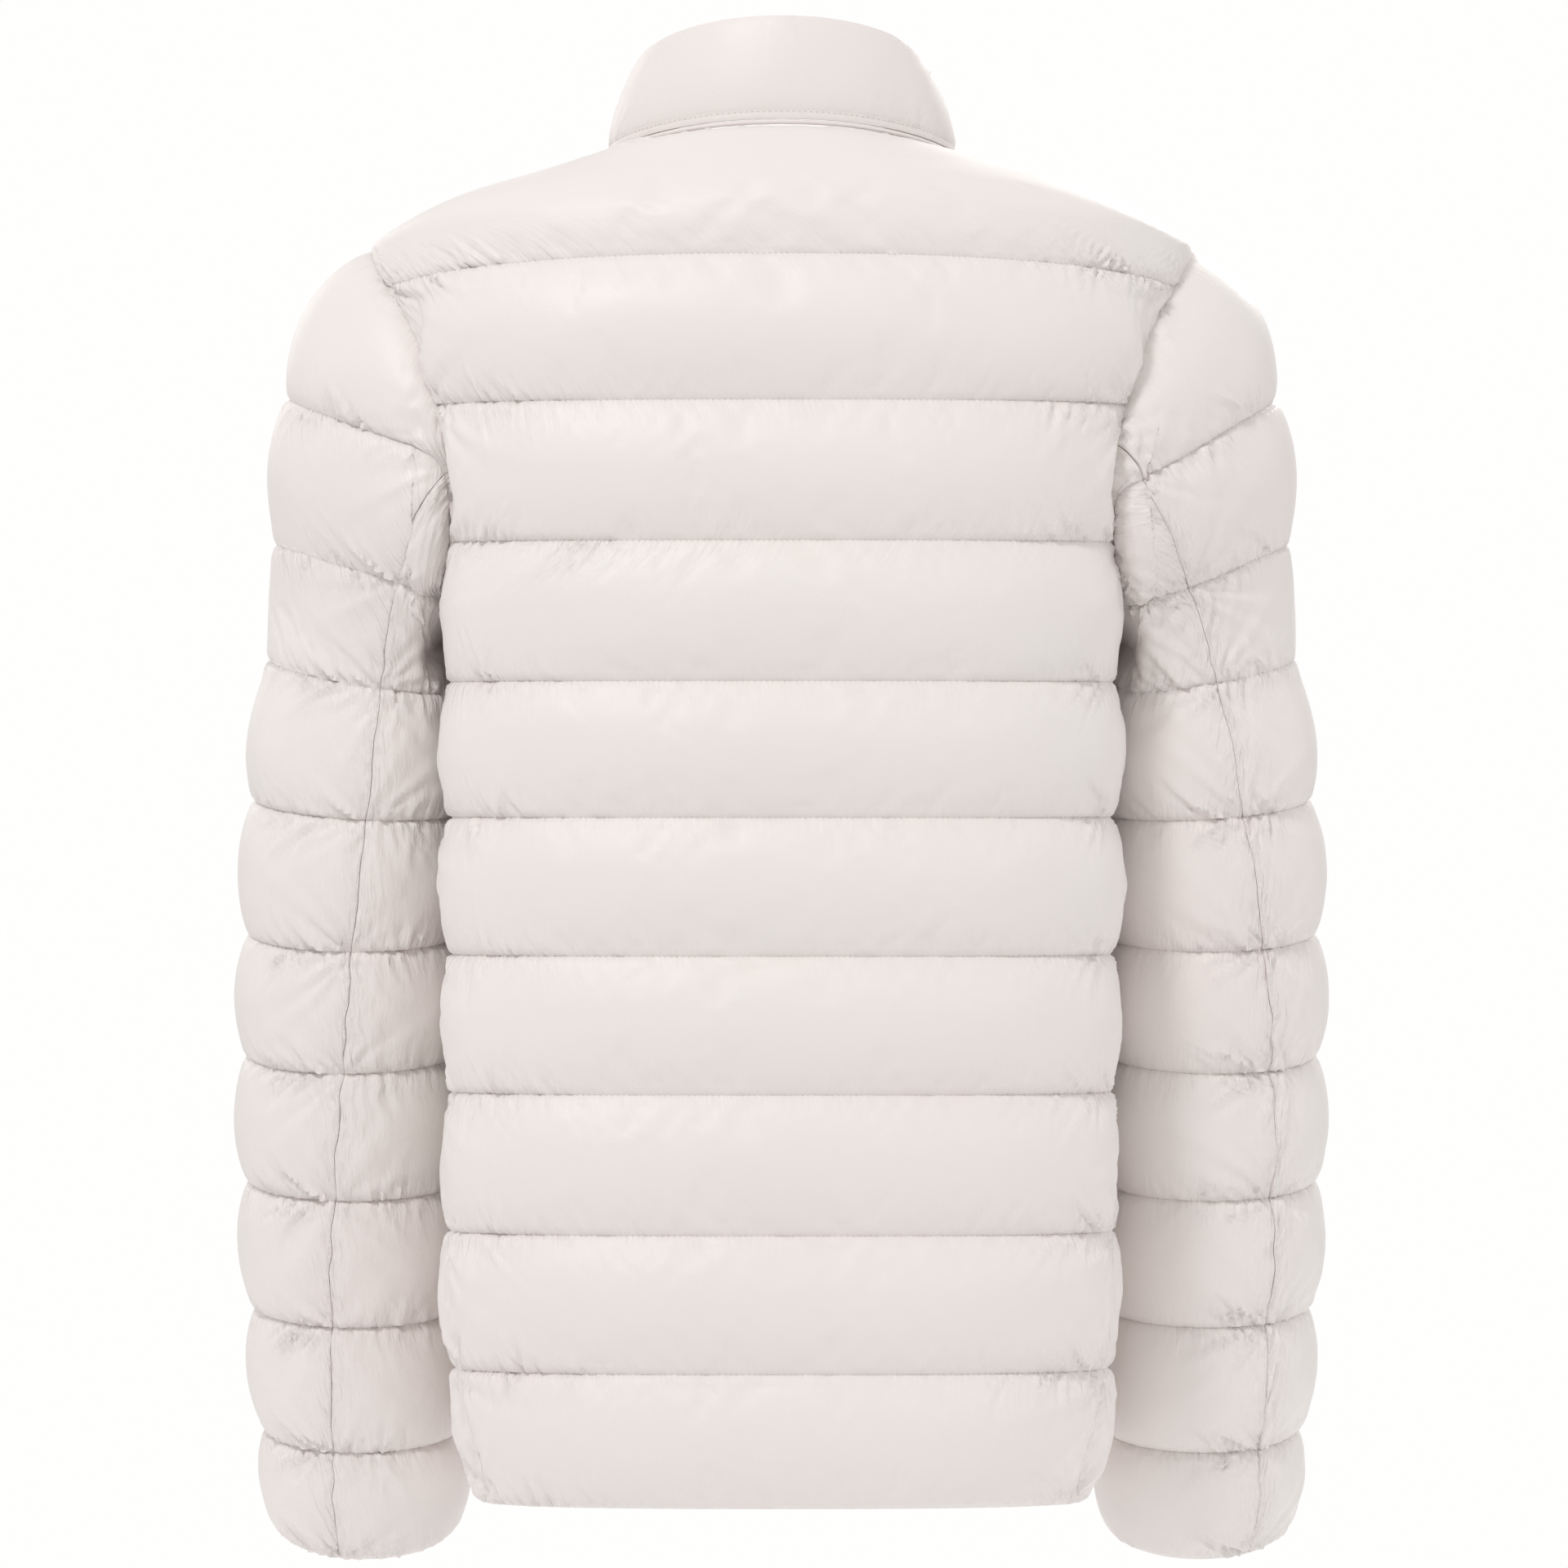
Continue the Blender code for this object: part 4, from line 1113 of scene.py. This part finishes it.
def crumple_group():
    """Fine creases of a thin cloth: soft dents, and sharp gathers where it is drawn up."""
    number = "NodeSocketFloat"
    tree, given, result = shader_group(
        "Crumple",
        [("Creased", number, 0.0), ("Dents", number, 0.25), ("Gathers", number, 1.0)],
        [("Height", number)],
    )
    if given is None:
        return tree
    where = add(tree, "ShaderNodeTexCoord").outputs["Object"]
    uv = add(tree, "ShaderNodeUVMap", uv_map="cloth").outputs["UV"]
    stretch = add(tree, "ShaderNodeMapping")
    stretch.inputs["Scale"].default_value = (300.0, 75.0, 1.0)
    tree.links.new(uv, stretch.inputs["Vector"])
    pleats = noise(tree, stretch.outputs["Vector"], 1.0, 2.0, 0.55)
    soft = noise(tree, where, 48.0, 3.0, 0.55)
    sharp = maths(tree, "ABSOLUTE", maths(tree, "SUBTRACT", noise(tree, where, 120.0, 2.0, 0.5), 0.5))
    dents = maths(tree, "MULTIPLY", maths(tree, "ADD", soft, sharp), given.outputs["Dents"])
    amount = maths(tree, "MULTIPLY", given.outputs["Creased"], given.outputs["Gathers"])
    busy = maths(tree, "MULTIPLY", pleats, amount)
    tree.links.new(maths(tree, "ADD", dents, busy), result.inputs["Height"])
    return tree


def use_group(tree, group, **values):
    node = add(tree, "ShaderNodeGroup")
    node.node_tree = group
    for name, value in values.items():
        socket = node.inputs[name.replace("_", " ")]
        if hasattr(value, "links"):
            tree.links.new(value, socket)
        else:
            socket.default_value = value
    return node


def bump(tree, height, distance, strength, before=None):
    node = add(tree, "ShaderNodeBump")
    node.inputs["Distance"].default_value = distance
    node.inputs["Strength"].default_value = strength
    tree.links.new(height, node.inputs["Height"])
    if before is not None:
        tree.links.new(before, node.inputs["Normal"])
    return node.outputs["Normal"]


def new_finish(name, roughness, metallic=0.0):
    if name in bpy.data.materials:
        return bpy.data.materials[name], None, None
    material = bpy.data.materials.new(name)
    material.use_nodes = True
    tree = material.node_tree
    shader = tree.nodes["Principled BSDF"]
    shader.inputs["Roughness"].default_value = roughness
    shader.inputs["Metallic"].default_value = metallic
    return material, tree, shader


def rgba(colour):
    return (*colour, 1.0)


def shell_finish():
    """Soft satin nylon, off-white, with faint warmer patches."""
    colours = bpy.context.scene.jacket_colours
    material, tree, shader = new_finish("satin_nylon", 0.45)
    if tree is None:
        return material
    # The creased mask also paints shade into the colour, which is darker in the creases.
    creased = add(tree, "ShaderNodeAttribute", attribute_name="creased").outputs["Fac"]
    tone = use_group(tree, tone_group(), Main=rgba(colours.shell), Rosy=rgba(colours.shell_rosy_and_shade),
                     Creamy=rgba(colours.shell_creamy), Creased=creased)
    tree.links.new(tone.outputs["Colour"], shader.inputs["Base Color"])
    where = add(tree, "ShaderNodeTexCoord").outputs["Object"]
    worn = maths(tree, "MULTIPLY", noise(tree, where, 30.0, 2.0), 0.14)
    tree.links.new(maths(tree, "ADD", worn, 0.40), shader.inputs["Roughness"])
    crumple = use_group(tree, crumple_group(), Creased=creased, Dents=0.12, Gathers=1.3)
    weave = use_group(tree, weave_group(), Threads_per_metre=2400.0)
    folds = bump(tree, crumple.outputs["Height"], 0.0022, 0.9)
    tree.links.new(bump(tree, weave.outputs["Height"], 0.00005, 0.18, folds), shader.inputs["Normal"])
    shader.inputs["Sheen Weight"].default_value = 0.12
    shader.inputs["Sheen Roughness"].default_value = 0.45
    shader.inputs["Specular IOR Level"].default_value = 0.42
    return material


def trim_finish():
    """Matt woven tape."""
    colours = bpy.context.scene.jacket_colours
    material, tree, shader = new_finish("woven_trim", 0.72)
    if tree is None:
        return material
    tone = use_group(tree, tone_group(), Main=rgba(colours.trim), Rosy=rgba(colours.shell_rosy_and_shade),
                     Creamy=rgba(colours.shell_creamy), Creased=0.3)
    tree.links.new(tone.outputs["Colour"], shader.inputs["Base Color"])
    weave = use_group(tree, weave_group(), Threads_per_metre=1500.0)
    tree.links.new(bump(tree, weave.outputs["Height"], 0.00018, 0.8), shader.inputs["Normal"])
    shader.inputs["Sheen Weight"].default_value = 0.2
    return material


def grained_finish(name, colour, roughness, metallic, scale, depth):
    """A hard or thread finish with a fine grain and uneven gloss."""
    material, tree, shader = new_finish(name, roughness, metallic)
    if tree is None:
        return material
    where = add(tree, "ShaderNodeTexCoord").outputs["Object"]
    grain = noise(tree, where, scale, 3.0, 0.6)
    darker = tuple(value * 0.9 for value in colour)
    tree.links.new(mix_colour(tree, grain, rgba(colour), rgba(darker)), shader.inputs["Base Color"])
    gloss = maths(tree, "ADD", maths(tree, "MULTIPLY", grain, 0.2), roughness - 0.1)
    tree.links.new(gloss, shader.inputs["Roughness"])
    tree.links.new(bump(tree, grain, depth, 0.5), shader.inputs["Normal"])
    return material


def colour_of(name):
    return tuple(getattr(bpy.context.scene.jacket_colours, name))


def thread_finish():
    return grained_finish("sewing_thread", colour_of("thread"), 0.6, 0.0, 2600.0, 0.00005)


def teeth_finish():
    return grained_finish("moulded_teeth", colour_of("teeth"), 0.34, 0.0, 900.0, 0.00003)


def metal_finish():
    return grained_finish("satin_metal", colour_of("metal"), 0.33, 1.0, 1400.0, 0.00003)


# ---- What a user may change ----


def length_property(name, about, value):
    return FloatProperty(name=name, description=about, default=value, min=0.001, unit="LENGTH")


def size_property(name, about, value):
    return FloatVectorProperty(name=name, description=about, default=value, subtype="XYZ_LENGTH")


def amount_property(name, about, value, most=1000.0):
    return FloatProperty(name=name, description=about, default=value, min=0.0, max=most)


class JacketCloth(bpy.types.PropertyGroup):
    puff: amount_property("Puff", "How far a full baffle stands out, in millimetres", 9.0, 14.0)
    sleeve_puff: amount_property("Sleeve puff", "The same on the sleeves, in millimetres", 8.0, 12.0)
    collar_puff: amount_property("Collar puff", "The same on the collar, in millimetres", 2.6, 5.0)
    pressure: amount_property("Filling pressure", "How hard the filling pushes the cloth out", 5.0)


class JacketSewing(bpy.types.PropertyGroup):
    stitch_pitch: length_property("Stitch pitch", "From one stitch to the next", 0.0030)
    stitch_size: size_property(
        "Stitch size", "Width, height and length of a stitch", (0.0006, 0.0006, 0.0022)
    )
    tooth_pitch: length_property("Tooth pitch", "From one zip tooth to the next on a tape", 0.0026)
    tooth_size: size_property(
        "Tooth size", "Reach, thickness and width of a zip tooth", (0.0031, 0.0022, 0.0013)
    )
    seed: IntProperty(name="Seed", description="Which random draws the stitches take", default=7, min=0)


def colour_property(name, value):
    about = name + " colour"
    return FloatVectorProperty(name=name, description=about, default=value, subtype="COLOR", min=0, max=1)


class JacketColours(bpy.types.PropertyGroup):
    shell: colour_property("Shell", (0.80, 0.745, 0.72))
    shell_rosy_and_shade: colour_property("Shell, rosy patches and crease shade", (0.80, 0.715, 0.70))
    # This rosy colour is also the painted shade in the creases.
    shell_creamy: colour_property("Shell, creamy patches", (0.785, 0.755, 0.715))
    trim: colour_property("Tape and piping", (0.78, 0.735, 0.71))
    thread: colour_property("Thread", (0.80, 0.755, 0.73))
    teeth: colour_property("Zip teeth", (0.80, 0.78, 0.76))
    metal: colour_property("Slider and pull", (0.78, 0.77, 0.76))


class JacketStage(bpy.types.PropertyGroup):
    surround: amount_property("Surround", "Light from all round", 0.57)
    key: amount_property("Key light", "Soft light from above, on one side", 41.0)
    camera_distance: FloatProperty(
        name="Camera distance",
        description="From the camera to the middle of the jacket",
        default=7.0,
        unit="LENGTH",
    )
    floor_height: FloatProperty(
        name="Floor height", description="Height of the floor", default=-1.1, unit="LENGTH"
    )


# ---- Operators ----


class JACKET_OT_back(bpy.types.Operator):
    """Quilts the back panel"""

    bl_idname = "jacket.back"
    bl_label = "Back panel"

    def execute(self, context):
        cloth = context.scene.jacket_cloth
        grids, lines = back_grid()
        finish_panel("quilted_back_panel", grids, lines, 100, cloth.puff, (1.0, 1.0), body_edge_shape)
        return {"FINISHED"}


class JACKET_OT_fronts(bpy.types.Operator):
    """Quilts the two front panels"""

    bl_idname = "jacket.fronts"
    bl_label = "Front panels"

    def execute(self, context):
        cloth = context.scene.jacket_cloth
        for side, word, seed in ((1, "left", 5200), (-1, "right", 9300)):
            (grid, normals), lines = front_grid()
            pull = (1.0, 0.7)
            if side < 0:
                grid, normals, pull = mirrored(grid)[:, ::-1], mirrored(normals)[:, ::-1], pull[::-1]
            name = f"quilted_front_{word}"
            finish_panel(name, (grid, normals), lines, seed, cloth.puff, pull, body_edge_shape)
        return {"FINISHED"}


class JACKET_OT_sleeves(bpy.types.Operator):
    """Quilts the outer and under panels of both sleeves"""

    bl_idname = "jacket.sleeves"
    bl_label = "Sleeves"

    def execute(self, context):
        cloth = context.scene.jacket_cloth
        seed = 20000
        for side, word in ((1, "left"), (-1, "right")):
            for outer, part in ((True, "outer"), (False, "under")):
                grids, lines = sleeve_grid(side, outer)
                seed += 4100
                name = f"quilted_sleeve_{part}_{word}"
                face = finish_panel(
                    name, grids, lines, seed, cloth.sleeve_puff, (0.8, 0.8), sleeve_edge_shape
                )
                if outer:
                    SEAM_PATHS[name] += [face[40:-1, 1], face[40:-1, -2]]
        return {"FINISHED"}


class JACKET_OT_collar(bpy.types.Operator):
    """Sews the stand collar and the piped strip under it"""

    bl_idname = "jacket.collar"
    bl_label = "Collar and piping"

    def execute(self, context):
        cloth = context.scene.jacket_cloth
        grid, lines = collar_grid(COLLAR_COLUMNS + 1)
        normals = grid_normals(grid)
        obj, outer = panel(
            "quilted_collar", grid, normals, lines, 61000, cloth.collar_puff, (0.5, 0.5), pressure=0.0,
            crease_share=0.22,
        )
        obj.data.materials.append(shell_finish())
        declare(obj, "shell", "collar")
        SEAM_PATHS["quilted_collar"] = [outer[lines[1], 2:-2]]
        route = body_points(np.zeros(241), neck_angles(241)) + np.array([0, 0, PIPING_LIFT])
        piping = tube("collar_strip", route, 1.25, 10, 62000)
        piping.data.materials.append(trim_finish())
        declare(piping, "trim", "collar_piping")
        return {"FINISHED"}


class JACKET_OT_zip(bpy.types.Operator):
    """Makes the zip's tapes and teeth"""

    bl_idname = "jacket.zip"
    bl_label = "Zip"

    def execute(self, context):
        sewing = context.scene.jacket_sewing
        route, out, walked = zip_route()
        for side, word in ((1, "left"), (-1, "right")):
            tape = zip_tape(f"woven_tape_{word}", side)
            tape.data.materials.append(trim_finish())
            declare(tape, "trim", f"zip_tape_{word}")
        tree = along_route_tree("Zip teeth", tooth_link)
        middle = route - out * TAPE_INSET
        pitch = sewing.tooth_pitch
        keep = walked > CHAIN_SHORT_OF_TOP
        # The right side's teeth start half a pitch lower, so that the two sides fall between each other.
        for side, word in ((1, "left"), (-1, "right")):
            path = middle[keep].copy()
            path[:, 0] = side * 1.25
            path[0, 2] -= 0.0 if side > 0 else pitch * 500.0
            size = list(sewing.tooth_size)
            size[0] *= side
            teeth = run_along(f"zip_teeth_{word}", [path], tree, {
                "Pitch": pitch, "Link size": tuple(size), "Tilt": 0.01, "Seed": sewing.seed,
                "Finish": teeth_finish()})
            recalculate(teeth.data)
            teeth.data.shade_flat()
            declare(teeth, "zip_teeth", *(["zip_chain"] if side > 0 else []))
        return {"FINISHED"}


class JACKET_OT_slider(bpy.types.Operator):
    """Rounds off the zip's slider and its pull"""

    bl_idname = "jacket.slider"
    bl_label = "Slider and pull"

    def execute(self, context):
        for node, name, body in (("zip_slider", "cast_slider", BODY), ("zip_pull", "cast_pull", "pull")):
            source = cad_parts[node]
            data = source.data.copy()
            data.name = name
            mesh = bmesh.new()
            mesh.from_mesh(data)
            bmesh.ops.remove_doubles(mesh, verts=mesh.verts, dist=2e-5)
            bmesh.ops.dissolve_limit(mesh, angle_limit=math.radians(3), verts=mesh.verts, edges=mesh.edges)
            mesh.to_mesh(data)
            mesh.free()
            piece = link(name, data)
            data.materials.clear()
            data.materials.append(metal_finish())
            round_off = piece.modifiers.new("rounded", "BEVEL")
            round_off.width = 0.0003
            round_off.segments = 2
            round_off.limit_method = "ANGLE"
            declare(piece, "zip_metal", node, body=body)
        return {"FINISHED"}


class JACKET_OT_stitches(bpy.types.Operator):
    """Sews the stitches along every quilt line"""

    bl_idname = "jacket.stitches"
    bl_label = "Stitches"

    def execute(self, context):
        sewing = context.scene.jacket_sewing
        tree = along_route_tree("Stitches", stitch_link)
        groups = (
            ("stitches_back", ("quilted_back_panel", "quilted_collar")),
            ("stitches_fronts", ("quilted_front_left", "quilted_front_right")),
            ("stitches_sleeve_left", ("quilted_sleeve_outer_left", "quilted_sleeve_under_left")),
            ("stitches_sleeve_right", ("quilted_sleeve_outer_right", "quilted_sleeve_under_right")),
        )
        for name, panels in groups:
            paths = [path for panel_name in panels for path in SEAM_PATHS.get(panel_name, [])]
            if not paths:
                raise RuntimeError(f"{name}: its panels are made first")
            stitches = run_along(name, paths, tree, {
                "Pitch": sewing.stitch_pitch, "Link size": tuple(sewing.stitch_size), "Tilt": 0.12,
                "Seed": sewing.seed, "Finish": thread_finish()})
            declare(stitches, "shell")
        return {"FINISHED"}


def area_light(name, place, towards, size, power):
    data = bpy.data.lights.new(name, "AREA")
    data.shape = "DISK"
    data.size = size
    data.energy = power
    lamp = link(name, data)
    lamp.location = place
    lamp.rotation_euler = (Vector(towards) - Vector(place)).to_track_quat("-Z", "Y").to_euler()


CAMERA_LENS = 313.0
CAMERA_ACROSS = -0.0012
CAMERA_HEIGHT = -0.334
STUDIO_LIGHTS = (
    ("key_back", (1.1, 2.3, 2.1), 0.7, 1.0),
    ("fill_back", (-1.6, 2.6, 0.7), 1.4, 0.22),
    ("key_front", (-1.1, -2.6, 1.1), 0.8, 0.85),
    ("fill_front", (1.6, -2.6, 0.7), 1.4, 0.22),
    ("side_left", (2.4, -0.5, 0.2), 1.6, 0.18),
    ("side_right", (-2.4, -0.5, 0.2), 1.6, 0.18),
)


class JACKET_OT_stage(bpy.types.Operator):
    """Sets the floor, the surround, the lights and the camera"""

    bl_idname = "jacket.stage"
    bl_label = "Stage"

    def execute(self, context):
        stage = context.scene.jacket_stage
        floor_mesh = bmesh.new()
        bmesh.ops.create_circle(floor_mesh, cap_ends=True, segments=96, radius=3.0)
        data = bpy.data.meshes.new("pale_floor")
        floor_mesh.to_mesh(data)
        floor_mesh.free()
        floor = link("pale_floor", data)
        floor.location = (0, 0, stage.floor_height)
        finish = grained_finish("floor_paper", (0.92, 0.92, 0.92), 0.8, 0.0, 300.0, 0.0001)
        data.materials.append(finish)
        world = bpy.data.worlds.new("surround")
        world.use_nodes = True
        context.scene.world = world
        tree = world.node_tree
        background = tree.nodes["Background"]
        where = add(tree, "ShaderNodeTexCoord").outputs["Generated"]
        split = add(tree, "ShaderNodeSeparateXYZ")
        tree.links.new(where, split.inputs[0])
        ramp = add(tree, "ShaderNodeMapRange", clamp=True)
        ramp.inputs["From Min"].default_value = -0.7
        ramp.inputs["From Max"].default_value = 0.8
        ramp.inputs["To Min"].default_value = 0.28 * stage.surround
        ramp.inputs["To Max"].default_value = 1.45 * stage.surround
        tree.links.new(split.outputs["Z"], ramp.inputs["Value"])
        seen = add(tree, "ShaderNodeLightPath").outputs["Is Camera Ray"]
        lit = maths(tree, "MULTIPLY", ramp.outputs["Result"], maths(tree, "SUBTRACT", 1.0, seen))
        tree.links.new(maths(tree, "ADD", lit, seen), background.inputs["Strength"])
        background.inputs["Color"].default_value = (1.0, 0.995, 0.99, 1.0)
        lo, hi = cad_box
        middle = (lo + hi) / 2
        for name, place, size, share in STUDIO_LIGHTS:
            area_light(name, place, middle, size, share * stage.key)
        camera_data = bpy.data.cameras.new("camera")
        camera_data.sensor_width = 36.0
        camera_data.lens = CAMERA_LENS
        camera_data.clip_end = 60.0
        camera = link("camera", camera_data)
        camera.location = (CAMERA_ACROSS, stage.camera_distance, CAMERA_HEIGHT)
        camera.rotation_euler = (math.radians(90), 0, math.radians(180))
        context.scene.camera = camera
        context.scene.view_settings.view_transform = "Standard"
        return {"FINISHED"}


class JACKET_PT_parts(bpy.types.Panel):
    """Everything the jacket is made of"""

    bl_label = "Padded jacket"
    bl_idname = "JACKET_PT_parts"
    bl_space_type = "VIEW_3D"
    bl_region_type = "UI"
    bl_category = "Jacket"

    def draw(self, context):
        scene = context.scene
        for settings in (scene.jacket_cloth, scene.jacket_sewing, scene.jacket_colours, scene.jacket_stage):
            box = self.layout.box()
            for name in settings.__annotations__:
                box.prop(settings, name)
        for operator in OPERATORS:
            self.layout.operator(operator.bl_idname)


SETTINGS = (
    ("jacket_cloth", JacketCloth),
    ("jacket_sewing", JacketSewing),
    ("jacket_colours", JacketColours),
    ("jacket_stage", JacketStage),
)
OPERATORS = (
    JACKET_OT_stage,
    JACKET_OT_back,
    JACKET_OT_fronts,
    JACKET_OT_sleeves,
    JACKET_OT_collar,
    JACKET_OT_zip,
    JACKET_OT_slider,
    JACKET_OT_stitches,
)


def register():
    for name, settings in SETTINGS:
        bpy.utils.register_class(settings)
        setattr(bpy.types.Scene, name, PointerProperty(type=settings))
    for operator in OPERATORS:
        bpy.utils.register_class(operator)
    bpy.utils.register_class(JACKET_PT_parts)


def unregister():
    bpy.utils.unregister_class(JACKET_PT_parts)
    for operator in reversed(OPERATORS):
        bpy.utils.unregister_class(operator)
    for name, settings in reversed(SETTINGS):
        delattr(bpy.types.Scene, name)
        bpy.utils.unregister_class(settings)


def corners(box):
    return [[float(value) for value in corner] for corner in box]


def main():
    register()
    bpy.ops.jacket.stage()
    bpy.ops.jacket.back()
    bpy.ops.jacket.fronts()
    bpy.ops.jacket.sleeves()
    bpy.ops.jacket.collar()
    bpy.ops.jacket.zip()
    bpy.ops.jacket.slider()
    bpy.ops.jacket.stitches()


if __name__ == "__main__":
    main()
